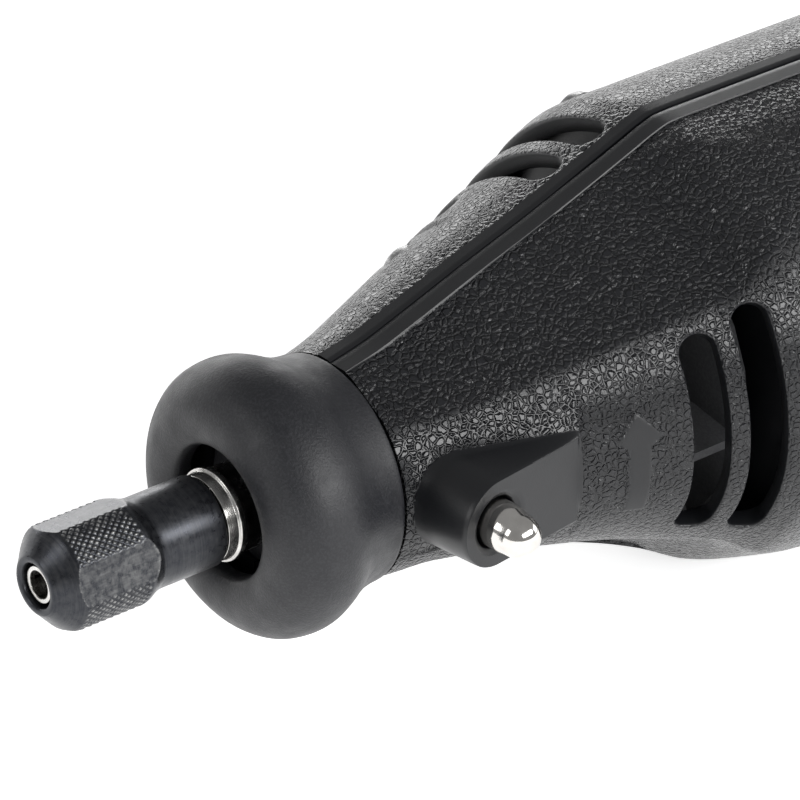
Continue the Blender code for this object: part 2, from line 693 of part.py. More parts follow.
dome_middle = DOME_RADIUS - PIN_DOME
dome = [
    (dome_middle - DOME_RADIUS * math.cos(a), DOME_RADIUS * math.sin(a)) for a in (0.25, 0.6, 0.95, 1.3)
]
pin_profile = dome + [
    (dome_middle + 0.35, DOME_RADIUS), (dome_middle + 1.4, PIN_RADIUS), (-PIN_STEP, PIN_RADIUS),
    (-PIN_STEP, PIN_SHANK), (-PIN_TIP - 0.5, PIN_SHANK), (-PIN_TIP, PIN_SHANK - 0.5),
]
add("lock_pin", y_turned_mesh("lock_pin", LOCK_STATION, 0, pin_profile), POLISHED_STEEL)
clip_low, clip_high = -LEDGE[0] + GAP, -LEDGE[0] + GAP + 0.7
clip = add("lock_pin_clip", rod_mesh("clip", LOCK_STATION, 0, clip_low, clip_high, 3.0, 20), BRIGHT_STEEL)
combine(clip, rod_mesh("clip_bore", LOCK_STATION, 0, clip_low - 1, clip_high + 1, PIN_SHANK + 0.25, 20))
combine(clip, box_mesh("clip_mouth", LOCK_STATION - 1.2, LOCK_STATION + 1.2, clip_low - 1, clip_high + 1, 0, 5))
y_spring(
    "lock_pin_spring", LOCK_STATION, 0, -LEDGE[1] - GAP, -PIN_STEP + GAP, 2.4, 0.28, 5, BRIGHT_STEEL
)

# Controls

slider = box(
    "power_switch", SWITCH_STATION - 9, SWITCH_STATION + 9, -24.7, -23.6, -5.2, 5.2, GREY_PLASTIC
)
knob = box_mesh("knob", SWITCH_STATION - 4.2, SWITCH_STATION + 4.2, -28.9, -24.0, -3.2, 3.2)
combine(slider, knob, "UNION")
for groove_number in (-1, 0, 1):
    middle_station = SWITCH_STATION + 2.2 * groove_number
    groove = box_mesh("grip", middle_station - 0.5, middle_station + 0.5, -30, -28.3, -4, 4)
    combine(slider, groove)
box("switch_body", SWITCH_STATION - 9, SWITCH_STATION + 9, -23.2, -14.4, -6.5, 6.5, BLACK_PLASTIC)

dial = add(
    "speed_dial",
    y_turned_mesh(
        "dial", DIAL_STATION, 0,
        [(-21.2, DIAL_RADIUS), (-26.6, DIAL_RADIUS), (-27.1, DIAL_RADIUS - 0.5)], 24,
    ),
    GREY_PLASTIC,
)
for notch in range(12):
    turn = 2 * math.pi * notch / 12
    place = (DIAL_STATION + DIAL_RADIUS * math.cos(turn), DIAL_RADIUS * math.sin(turn))
    combine(dial, rod_mesh("notch", place[0], place[1], -24.5, -29, 0.55, 6))
mark = box_mesh("mark", DIAL_STATION - 6.3, DIAL_STATION - 2.5, -29, -26.6, -0.4, 0.4)
combine(dial, mark)
add("speed_control", rod_mesh("pot", DIAL_STATION, 0, -14.4, -20.8, 6.2, 20), BLACK_PLASTIC)
box("control_board", 169.0, 205.0, -14.0, -12.4, -13.0, 13.0, BOARD_GREEN)
box("suppression_capacitor", 170.0, 186.0, -12.0, -3.0, -9.0, 9.0, GREY_PLASTIC)

turned(
    "cord_inlet",
    [(207.6, 3.7), (207.6, 9.4), (209.6, 9.4), (209.6, 7.4), (212.7, 7.4), (212.7, 9.6), (214.2, 9.6),
     (214.8, 8.8), (214.8, 3.7)],
    RUBBER, 20,
)

# Hanger bail

reach = BAIL_REAR - BAIL_WIRE - BAIL_STATION
bail_points = [point(BAIL_STATION, 0, 21.2), point(BAIL_STATION, 0, BAIL_ARM - 1.4)]
bail_points += [point(BAIL_STATION + 0.5, 0, BAIL_ARM - 0.4), point(BAIL_STATION + 1.7, 0, BAIL_ARM)]
sweep = 12
for i in range(sweep + 1):
    turn = math.pi * i / sweep
    height = BAIL_ARM * math.cos(turn)
    bail_points.append(point(BAIL_STATION + 9.0 + (reach - 9.0) * math.sin(turn) ** 0.8, 0, height))
bail_points += [point(BAIL_STATION + 1.7, 0, -BAIL_ARM), point(BAIL_STATION + 0.5, 0, -BAIL_ARM + 0.4)]
bail_points += [point(BAIL_STATION, 0, -BAIL_ARM + 1.4), point(BAIL_STATION, 0, -21.2)]
tube("hanger_bail", bail_points, BAIL_WIRE, BRIGHT_STEEL)


# Joints: each moving piece is carried by an empty on its joint's axis

spindle_pieces = [
    "spindle", "front_bearing_inner", "spindle_bearing_inner", "motor_bearing_inner", "rear_bearing_inner",
    "shaft_coupling", "armature_shaft", "fan", "armature_core", "armature_winding_front",
    "armature_winding_rear", "commutator",
]
AXES = {
    "spindle_axis": (point(LOCK_STATION), spindle_pieces),
    "cage_axis": (point(34.4), ["front_bearing_cage"]),
    "collet_axis": (point(10.0), ["collet", "collet_nut"]),
    "lock_axis": (point(LOCK_STATION, -PIN_STEP), ["lock_pin", "lock_pin_clip"]),
    "left_brush_axis": (point(BRUSH_STATION, -13.0), ["carbon_brush_left"]),
    "right_brush_axis": (point(BRUSH_STATION, 13.0), ["carbon_brush_right"]),
    "switch_axis": (point(SWITCH_STATION, -24.0), ["power_switch"]),
    "dial_axis": (point(DIAL_STATION, -24.0), ["speed_dial"]),
    "bail_axis": (point(BAIL_STATION), ["hanger_bail"]),
}
for label, (place, carried) in AXES.items():
    holder = bpy.data.objects.new(label, None)
    holder.empty_display_size = 10 * MM
    holder.location = place
    parts.objects.link(holder)
    for piece_name in carried:
        piece = bpy.data.objects[piece_name]
        piece.parent = holder
        piece.matrix_parent_inverse = Matrix.Translation(-place)
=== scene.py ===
"""Rotary hobby tool: its looks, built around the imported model.

Lengths are millimetres, as a station S behind the collet nut's front face and a Y and Z from the
tool's axis. place() turns them into the frame's metres. Angles are degrees from the top.
"""

import bisect
import json
import math

import bmesh
import bpy
from mathutils import Matrix, Vector


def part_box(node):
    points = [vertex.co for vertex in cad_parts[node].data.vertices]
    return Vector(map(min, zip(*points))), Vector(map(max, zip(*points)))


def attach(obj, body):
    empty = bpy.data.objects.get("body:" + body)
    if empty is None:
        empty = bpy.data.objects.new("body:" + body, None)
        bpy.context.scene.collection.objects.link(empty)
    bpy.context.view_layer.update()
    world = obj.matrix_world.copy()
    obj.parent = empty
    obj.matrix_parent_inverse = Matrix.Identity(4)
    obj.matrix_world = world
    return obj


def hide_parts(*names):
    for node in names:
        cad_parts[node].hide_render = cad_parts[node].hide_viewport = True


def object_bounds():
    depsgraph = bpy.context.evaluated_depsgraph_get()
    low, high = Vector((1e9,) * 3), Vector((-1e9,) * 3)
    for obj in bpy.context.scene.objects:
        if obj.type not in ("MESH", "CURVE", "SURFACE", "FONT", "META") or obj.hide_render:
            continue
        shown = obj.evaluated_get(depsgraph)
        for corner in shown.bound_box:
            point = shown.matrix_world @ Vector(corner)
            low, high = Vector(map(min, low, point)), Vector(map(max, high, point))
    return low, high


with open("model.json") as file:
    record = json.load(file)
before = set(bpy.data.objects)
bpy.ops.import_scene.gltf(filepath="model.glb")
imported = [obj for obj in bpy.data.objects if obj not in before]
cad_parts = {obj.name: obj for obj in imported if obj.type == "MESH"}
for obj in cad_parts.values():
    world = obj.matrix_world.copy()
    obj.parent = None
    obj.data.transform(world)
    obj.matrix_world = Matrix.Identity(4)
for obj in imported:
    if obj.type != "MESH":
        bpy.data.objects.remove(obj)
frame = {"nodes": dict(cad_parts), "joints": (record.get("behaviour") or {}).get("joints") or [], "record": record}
cad_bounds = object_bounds()

MM = 0.001
FRONT_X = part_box("collet_nut")[0].x
AXIS_Z = next(j["pos_m"][2] for j in frame["joints"] if j["name"] == "spindle_spin")

# Housing
OUTLINE = [
    (40.1, 13.3), (44.5, 14.3), (50.0, 16.1), (58.9, 19.2), (67.1, 21.9), (74.6, 24.6), (81.3, 27.1),
    (84.8, 28.4), (86.6, 28.85), (89.0, 28.95), (150.0, 28.95), (170.0, 28.6), (184.0, 27.7),
    (194.0, 26.3), (202.0, 23.9), (207.0, 20.8), (210.4, 16.6), (212.0, 11.8), (212.3, 7.8),
]
NOSE, REAR = OUTLINE[0][0], OUTLINE[-1][0]
WALL = 2.3
STRIP = {"left": 2.8, "right": 2.1}  # how far the smooth seam strip reaches from the parting line
STRIP_RAISE = 0.14
STRIP_EDGE = 0.1
FOOT = 5.2
PANEL_ANGLE = 30.0
PANEL_NEARNESS = [
    (40.0, 0.974), (46.0, 0.94), (52.0, 0.93), (80.0, 0.93), (84.5, 0.956), (90.8, 0.988), (94.0, 1.001),
]
# How far the underside is drawn in towards the axis, as a share of the radius, and the angles where
# that starts and is full
UNDER_LIFT = [
    (0.0, 0.0), (40.0, 0.0), (46.0, 0.06), (54.0, 0.14), (66.0, 0.17), (74.0, 0.15), (82.0, 0.11),
    (90.0, 0.04), (100.0, 0.0), (212.3, 0.0),
]
UNDER_START, UNDER_FULL = 95.0, 155.0
PANEL_ROUND = 0.22
VENT_HALF = 2.05
VENTS = {
    "left": [(74.5, 57.0, 118.0), (80.8, 54.5, 119.0)],
    "right": [(68.2, 36.0, 96.0), (74.5, 6.5, 86.0), (80.8, 6.0, 86.0)],
}
SCREWS = [(61.0, 12.3), (90.0, 21.0), (186.0, 19.0)]
SCREW_DEPTHS = {61.0: 5.5, 90.0: 12.6, 186.0: 12.0}  # how far each one reaches into the left half
LOCK_STATION, PIN_RADIUS = 46.5, 2.75
BOSS_CENTRE, BOSS_REAR, BOSS_FACE, BOSS_LOW = 46.65, 59.9, 20.9, 19.1
BOSS_FOOT = 5.95
SWITCH_STATION, DIAL_STATION, BRUSH_STATION, BAIL_STATION = 176.0, 196.0, 149.5, 203.0
DIAL_RADIUS = 7.0
BAIL_HOLE = 1.6
ARROW = [
    (66.35, 72.5), (68.85, 81.0), (67.55, 83.6), (67.55, 106.0), (65.15, 106.0), (65.15, 83.6),
    (63.95, 81.0),
]
ARROW_RAISE = 0.13


def place(station, y=0.0, z=0.0):
    return Vector((FRONT_X + station * MM, y * MM, AXIS_Z + z * MM))


def smooth_step(low, high, value):
    part = max(0.0, min(1.0, (value - low) / (high - low)))
    return part * part * (3.0 - 2.0 * part)


def soft_min(a, b, width):
    near = max(width - abs(a - b), 0.0) / width
    return min(a, b) - near * near * width / 4


def curve(points):
    """A smooth function through points that doesn't overshoot them, and its slope."""
    xs = [p[0] for p in points]
    ys = [p[1] for p in points]
    steps = [b - a for a, b in zip(xs, xs[1:])]
    rises = [(b - a) / h for a, b, h in zip(ys, ys[1:], steps)]
    slopes = [rises[0]]
    for before, after in zip(rises, rises[1:]):
        slopes.append(2 * before * after / (before + after) if before * after > 0 else 0.0)
    slopes.append(rises[-1])

    def at(x):
        x = max(xs[0], min(xs[-1], x))
        k = min(len(steps) - 1, max(0, bisect.bisect_right(xs, x) - 1))
        t, h = (x - xs[k]) / steps[k], steps[k]
        value = (
            ys[k] * (1 + 2 * t) * (1 - t) ** 2 + h * slopes[k] * t * (1 - t) ** 2
            + ys[k + 1] * t * t * (3 - 2 * t) + h * slopes[k + 1] * t * t * (t - 1)
        )
        slope = (
            (ys[k + 1] - ys[k]) * 6 * t * (1 - t) / h
            + slopes[k] * (1 - t) * (1 - 3 * t) + slopes[k + 1] * t * (3 * t - 2)
        )
        return value, slope

    return at


outline = curve(OUTLINE)
panel_nearness = curve(PANEL_NEARNESS)
under_lift = curve(UNDER_LIFT)


# Materials

class Graph:
    """A Principled material with short helpers for its nodes. Patterns are laid out in millimetres."""

    def __init__(self, name, colour, roughness, metallic=0.0, specular=0.5):
        self.material = bpy.data.materials.new(name)
        self.material.use_nodes = True
        self.tree = self.material.node_tree
        self.shader = self.tree.nodes["Principled BSDF"]
        self.shader.inputs["Base Color"].default_value = (*colour, 1.0)
        self.shader.inputs["Roughness"].default_value = roughness
        self.shader.inputs["Metallic"].default_value = metallic
        self.shader.inputs["Specular IOR Level"].default_value = specular
        source = self.tree.nodes.new("ShaderNodeTexCoord").outputs["Object"]
        self.space = self.scaled(source, (1 / MM, 1 / MM, 1 / MM))
        self.normal = None

    def feed(self, node, socket, value):
        if isinstance(value, bpy.types.NodeSocket):
            self.tree.links.new(value, node.inputs[socket])
        else:
            node.inputs[socket].default_value = value

    def scaled(self, vector, scale):
        node = self.tree.nodes.new("ShaderNodeMapping")
        self.feed(node, "Vector", vector)
        node.inputs["Scale"].default_value = scale
        return node.outputs["Vector"]

    def noise(self, scale, detail=2.0, vector=None, roughness=0.5):
        node = self.tree.nodes.new("ShaderNodeTexNoise")
        self.feed(node, "Vector", vector or self.space)
        node.inputs["Scale"].default_value = scale
        node.inputs["Detail"].default_value = detail
        node.inputs["Roughness"].default_value = roughness
        return node.outputs["Fac"]

    def warped(self, scale, amount):
        """The pattern space pushed about by noise, so that a pattern in it looks grown."""
        node = self.tree.nodes.new("ShaderNodeTexNoise")
        self.feed(node, "Vector", self.space)
        node.inputs["Scale"].default_value = scale
        centred = self.vector("SUBTRACT", node.outputs["Color"], (0.5, 0.5, 0.5))
        return self.vector("ADD", self.space, self.vector("SCALE", centred, amount))

    def vector(self, operation, a, b):
        node = self.tree.nodes.new("ShaderNodeVectorMath")
        node.operation = operation
        self.feed(node, 0, a)
        self.feed(node, "Scale" if operation == "SCALE" else 1, b)
        return node.outputs["Vector"]

    def cells(self, scale, vector=None, feature="DISTANCE_TO_EDGE"):
        node = self.tree.nodes.new("ShaderNodeTexVoronoi")
        node.feature = feature
        self.feed(node, "Vector", vector or self.space)
        node.inputs["Scale"].default_value = scale
        return node.outputs["Distance"]

    def math(self, operation, a, b=0.0, c=0.0):
        node = self.tree.nodes.new("ShaderNodeMath")
        node.operation = operation
        for socket, value in enumerate((a, b, c)):
            self.feed(node, socket, value)
        return node.outputs[0]

    def span(self, value, low, high, to_low=0.0, to_high=1.0, smooth=False):
        node = self.tree.nodes.new("ShaderNodeMapRange")
        if smooth:
            node.interpolation_type = "SMOOTHSTEP"
        for socket, number in zip(("Value", "From Min", "From Max", "To Min", "To Max"),
                                  (value, low, high, to_low, to_high)):
            self.feed(node, socket, number)
        return node.outputs["Result"]

    def attribute(self, name):
        node = self.tree.nodes.new("ShaderNodeAttribute")
        node.attribute_name = name
        return node.outputs["Fac"]

    def bump(self, height, distance, strength=1.0):
        """Adds relief of a depth in millimetres on top of what is there already."""
        node = self.tree.nodes.new("ShaderNodeBump")
        node.inputs["Distance"].default_value = distance * MM
        self.feed(node, "Strength", strength)
        self.feed(node, "Height", height)
        if self.normal is not None:
            self.feed(node, "Normal", self.normal)
        self.normal = node.outputs["Normal"]
        self.feed(self.shader, "Normal", self.normal)
        return self

    def colours(self, factor, first, second):
        node = self.tree.nodes.new("ShaderNodeMix")
        node.data_type = "RGBA"
        self.feed(node, 0, factor)
        node.inputs[6].default_value = (*first, 1.0)
        node.inputs[7].default_value = (*second, 1.0)
        self.feed(self.shader, "Base Color", node.outputs[2])
        return self

    def rough(self, value, low, high, to_low, to_high):
        self.feed(self.shader, "Roughness", self.span(value, low, high, to_low, to_high))
        return self


def housing_plastic():
    """Black moulded plastic: pebble grain where the attribute 'grain' is 1, matte and smooth at 0."""
    g = Graph("housing_plastic", (0.009, 0.0095, 0.011), 0.36, specular=0.5)
    edge = g.cells(1.2, g.warped(0.9, 0.7))
    bound = g.span(g.noise(1.6, 2.0), 0.3, 0.7, 0.16, 0.3)
    pebbles = g.span(edge, 0.02, bound, smooth=True)
    fine = g.noise(5.0, 2.0)
    grain = g.attribute("grain")
    g.bump(pebbles, 0.3, g.math("MULTIPLY", grain, 1.0))
    g.bump(fine, 0.018, 0.6)
    g.bump(g.noise(0.12, 1.0), 0.2, 0.3)
    worn = g.math("MULTIPLY", pebbles, grain)
    g.colours(worn, (0.0055, 0.006, 0.0075), (0.009, 0.0095, 0.0115))
    mottled = g.math("MULTIPLY_ADD", g.noise(0.35, 3.0), 0.14, g.math("MULTIPLY", grain, -0.14))
    g.rough(mottled, -0.14, 0.14, 0.2, 0.44)
    return g.material


def eroded_plastic(name, dark, light, scale=4.2, depth=0.035, rough=(0.42, 0.6)):
    """Plastic with a fine spark-eroded texture."""
    g = Graph(name, dark, 0.5, specular=0.45)
    sand = g.noise(scale, 3.0, roughness=0.65)
    g.bump(sand, depth, 0.9)
    g.bump(g.noise(0.25, 2.0), 0.1, 0.3)
    g.colours(g.span(sand, 0.4, 0.68, smooth=True), dark, light)
    return g.rough(g.noise(0.4, 3.0), 0.3, 0.7, *rough).material


def turned_steel(name, dark, light, rough, ring=9.0, metallic=1.0, depth=0.006):
    """Steel off a lathe: fine rings round the tool's axis, stains and small scratches."""
    g = Graph(name, dark, rough[0], metallic)
    rings = g.noise(ring, 3.0, g.scaled(g.space, (1.0, 0.02, 0.02)), 0.7)
    stain = g.noise(0.5, 4.0)
    scratch = g.noise(7.0, 2.0, g.scaled(g.space, (0.12, 1.0, 1.0)))
    g.bump(rings, depth, 0.8)
    g.bump(scratch, depth * 0.6, 0.5)
    g.colours(g.span(g.math("ADD", rings, stain), 0.75, 1.25, smooth=True), dark, light)
    return g.rough(stain, 0.3, 0.7, *rough).material


def black_oxide():
    """Blackened steel, with its knurl's tips and corners rubbed lighter."""
    g = Graph("black_oxide_steel", (0.034, 0.036, 0.042), 0.32, 0.85)
    worn = g.attribute("wear")
    rings = g.noise(8.0, 3.0, g.scaled(g.space, (1.0, 0.02, 0.02)), 0.7)
    stain = g.noise(1.3, 4.0, roughness=0.6)
    rubbed = g.math("MULTIPLY", worn, g.span(stain, 0.35, 0.62, 0.15, 1.0, smooth=True))
    patina = g.math("MULTIPLY", g.span(g.math("ADD", rings, stain), 0.8, 1.25), 0.1)
    milled = g.noise(3.2, 3.0, g.scaled(g.space, (0.12, 1.0, 1.0)), 0.7)
    rubbed = g.math("MULTIPLY", rubbed, g.span(milled, 0.35, 0.65, 0.45, 1.25))
    g.bump(milled, 0.012, g.math("MULTIPLY", worn, 1.0))
    g.bump(rings, 0.008, 0.9)
    g.bump(g.noise(6.0, 3.0, roughness=0.65), 0.012, 0.5)
    g.colours(g.math("ADD", rubbed, patina), (0.03, 0.032, 0.038), (0.32, 0.32, 0.315))
    return g.rough(stain, 0.3, 0.7, 0.24, 0.4).material


def polished_steel():
    g = Graph("polished_steel", (0.74, 0.72, 0.69), 0.08, 1.0)
    smudge = g.noise(0.8, 4.0)
    g.bump(g.noise(9.0, 2.0, g.scaled(g.space, (1.0, 1.0, 0.15))), 0.002, 0.5)
    g.colours(smudge, (0.6, 0.58, 0.55), (0.82, 0.8, 0.77))
    return g.rough(smudge, 0.3, 0.7, 0.05, 0.16).material


def laminations():
    """Thin varnished steel sheets stacked along the tool's axis."""
    g = Graph("laminations", (0.2, 0.2, 0.21), 0.4, 0.9)
    wave = g.tree.nodes.new("ShaderNodeTexWave")
    g.feed(wave, "Vector", g.space)
    wave.inputs["Scale"].default_value = 0.62
    g.bump(wave.outputs["Fac"], 0.05, 0.8)
    stain = g.noise(0.6, 4.0)
    g.colours(stain, (0.12, 0.1, 0.09), (0.34, 0.33, 0.33))
    return g.rough(stain, 0.3, 0.7, 0.3, 0.5).material


def windings(name, dark, light, wire=0.35):
    """Enamelled wire laid side by side."""
    g = Graph(name, dark, 0.3, 0.85)
    wave = g.tree.nodes.new("ShaderNodeTexWave")
    wave.bands_direction = "DIAGONAL"
    g.feed(wave, "Vector", g.warped(0.3, 0.5))
    wave.inputs["Scale"].default_value = wire
    g.bump(wave.outputs["Fac"], 0.12, 0.9)
    g.colours(g.math("MULTIPLY", wave.outputs["Fac"], g.noise(0.5, 3.0)), dark, light)
    return g.rough(g.noise(1.0, 2.0), 0.3, 0.7, 0.22, 0.42).material


def grainy(name, dark, light, scale, rough, metallic=0.0, depth=0.02):
    """A general fine-grained finish, such as carbon, laminate, rubber or brass."""
    g = Graph(name, dark, rough[0], metallic)
    grain = g.noise(scale, 4.0, roughness=0.6)
    g.bump(grain, depth, 0.7)
    g.colours(g.span(grain, 0.35, 0.65, smooth=True), dark, light)
    return g.rough(g.noise(scale / 4, 3.0), 0.3, 0.7, *rough).material


HOUSING = housing_plastic()
CAP = eroded_plastic("cap_plastic", (0.0095, 0.01, 0.0125), (0.019, 0.0195, 0.023), 3.4, 0.06, (0.4, 0.54))
CONTROL = eroded_plastic("control_plastic", (0.06, 0.061, 0.065), (0.085, 0.086, 0.09), 3.0, 0.02)
BLACK_OXIDE = black_oxide()
BRIGHT = turned_steel("bright_steel", (0.42, 0.41, 0.39), (0.72, 0.71, 0.69), (0.16, 0.32))
SCREW_STEEL = turned_steel("screw_steel", (0.2, 0.2, 0.2), (0.42, 0.42, 0.42), (0.28, 0.42), depth=0.004)
WIRE = turned_steel("bail_wire", (0.42, 0.42, 0.42), (0.66, 0.66, 0.67), (0.2, 0.34), 3.0)
POLISHED = polished_steel()
LAMINATION = laminations()
COPPER = windings("enamelled_copper", (0.3, 0.09, 0.03), (0.8, 0.36, 0.16))
BRASS = grainy("brass", (0.5, 0.36, 0.14), (0.78, 0.58, 0.27), 2.0, (0.2, 0.36), 1.0, 0.006)
CARBON = grainy("carbon", (0.018, 0.018, 0.019), (0.05, 0.05, 0.05), 5.0, (0.5, 0.7))
LAMINATE = grainy("board_laminate", (0.008, 0.07, 0.03), (0.02, 0.13, 0.06), 1.4, (0.3, 0.5))
RUBBER = grainy("rubber", (0.012, 0.012, 0.013), (0.026, 0.026, 0.027), 3.5, (0.6, 0.8), depth=0.03)


# Making pieces

def publish(bm, name, material, body, slot, *nodes, sharp=40.0):
    """Turns a bmesh into a piece that rides on a body and stands for the given CAD nodes."""
    bmesh.ops.recalc_face_normals(bm, faces=bm.faces)
    mesh = bpy.data.meshes.new(name)
    bm.to_mesh(mesh)
    bm.free()
    mesh.materials.append(material)
    mesh.shade_smooth()
    mesh.set_sharp_from_angle(angle=math.radians(sharp))
    piece = bpy.data.objects.new(name, mesh)
    bpy.context.scene.collection.objects.link(piece)
    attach(piece, body)
    if nodes:
        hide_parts(*nodes)
    return piece


def bridge(bm, first, second):
    """Quads between two closed loops of the same length."""
    for k in range(len(first)):
        n = (k + 1) % len(first)
        bm.faces.new((first[k], first[n], second[n], second[k]))


def chain(bm, loops):
    for first, second in zip(loops, loops[1:]):
        bridge(bm, first, second)


def revolve(bm, profile, sides, to_place, closed=True):
    """Turns a profile of (along, radius) about a line; a profile that isn't closed is capped flat."""
    rings = []
    for along, radius in profile:
        turns = [2 * math.pi * k / sides for k in range(sides)]
        rings.append([
            bm.verts.new(to_place(along, radius * math.cos(t), radius * math.sin(t))) for t in turns
        ])
    chain(bm, rings)
    if closed:
        bridge(bm, rings[-1], rings[0])
    else:
        bm.faces.new(rings[0])
        bm.faces.new(list(reversed(rings[-1])))


def on_axis(along, y, z):
    return place(along, y, z)


def across(station, height=0.0):
    """A place function for shapes turned about a line along Y."""
    return lambda along, u, v: place(station + u, along, height + v)


def rounded(points, radius=0.25, steps=4):
    """A closed profile with each corner rounded by up to a radius."""
    result = []
    count = len(points)
    for k in range(count):
        before, corner, after = (Vector(points[(k + d) % count]) for d in (-1, 0, 1))
        inward, onward = before - corner, after - corner
        reach = min(radius, inward.length * 0.45, onward.length * 0.45)
        start, end = corner + inward.normalized() * reach, corner + onward.normalized() * reach
        for n in range(steps + 1):
            t = n / steps
            bend = start * (1 - t) ** 2 + corner * 2 * t * (1 - t) + end * t * t
            result.append((bend.x, bend.y))
    return result


def turned(name, profile, material, body, slot, *nodes, sides=96, radius=0.2, frame_of=on_axis):
    bm = bmesh.new()
    revolve(bm, rounded(profile, radius), sides, frame_of)
    return publish(bm, name, material, body, slot, *nodes)


def cut(piece, bm_tool):
    """Takes a shape out of a piece for good."""
    bmesh.ops.recalc_face_normals(bm_tool, faces=bm_tool.faces)
    mesh = bpy.data.meshes.new("tool")
    bm_tool.to_mesh(mesh)
    bm_tool.free()
    tool = bpy.data.objects.new("tool", mesh)
    bpy.context.scene.collection.objects.link(tool)
    step = piece.modifiers.new("cut", "BOOLEAN")
    step.object = tool
    bpy.context.view_layer.update()
    graph = bpy.context.evaluated_depsgraph_get()
    made = bpy.data.meshes.new_from_object(piece.evaluated_get(graph))
    piece.modifiers.remove(step)
    piece.data = made
    made.set_sharp_from_angle(angle=math.radians(35))
    bpy.data.objects.remove(tool)
    return piece


def block_tool(s0, s1, y0, y1, z0, z1, turn=0.0, bevel=0.0):
    """A box as a tool, turned about the tool's axis by degrees."""
    bm = bmesh.new()
    bmesh.ops.create_cube(bm, size=1.0)
    size = Vector((s1 - s0, y1 - y0, z1 - z0)) * MM
    middle = Vector(((s0 + s1) / 2, (y0 + y1) / 2, (z0 + z1) / 2)) * MM
    bmesh.ops.scale(bm, vec=size, verts=bm.verts)
    if bevel:
        bmesh.ops.bevel(
            bm, geom=list(bm.edges), offset=bevel * MM, segments=4, profile=0.5, affect="EDGES"
        )
    bmesh.ops.translate(bm, vec=middle, verts=bm.verts)
    bmesh.ops.rotate(bm, matrix=Matrix.Rotation(math.radians(turn), 3, "X"), verts=bm.verts)
    bmesh.ops.translate(bm, vec=place(0), verts=bm.verts)
    return bm


# Housing halves

def polygon_distance(points, x, y):
    """Distance from a point to a polygon's edge, negative inside it."""
    best, inside = 1e9, False
    for (ax, ay), (bx, by) in zip(points, points[1:] + points[:1]):
        ex, ey, px, py = bx - ax, by - ay, x - ax, y - ay
        t = max(0.0, min(1.0, (px * ex + py * ey) / (ex * ex + ey * ey)))
        best = min(best, math.hypot(px - ex * t, py - ey * t))
        if (ay > y) != (by > y) and x < ax + ex * (y - ay) / ey:
            inside = not inside
    return -best if inside else best


ARROW_SCALE = math.radians(outline(66.3)[0])  # millimetres round the body for each degree there
ARROW_SHAPE = [(s, a * ARROW_SCALE) for s, a in ARROW]


def arrow_cover(station, angle):
    """1 on the moulded arrow, 0 off it, with a soft edge."""
    if not (62 < station < 71 and 70 < angle < 109):
        return 0.0
    return smooth_step(0.1, -0.12, polygon_distance(ARROW_SHAPE, station, angle * ARROW_SCALE))


def march(low, high, spacing):
    """Places from low to high, with a spacing that depends on where they are."""
    places = [low]
    while places[-1] < high - spacing(places[-1]) * 0.6:
        places.append(places[-1] + spacing(places[-1]))
    return places[:-1] + [high] if len(places) > 1 else [low, high]


def row_spacing(station):
    fine = 0.26 if 60 < station < 85 else 0.45 if station < 95 else 1.1
    if abs(station - BAIL_STATION) < 2.6:
        fine = 0.25
    elif station > 142:
        fine = 0.7
    return fine / math.hypot(1.0, outline(station)[1])


def turn_spacing(side):
    low, high = (48.0, 124.0) if side == "left" else (3.0, 102.0)
    return lambda angle: 0.75 if low < angle < high else 1.25


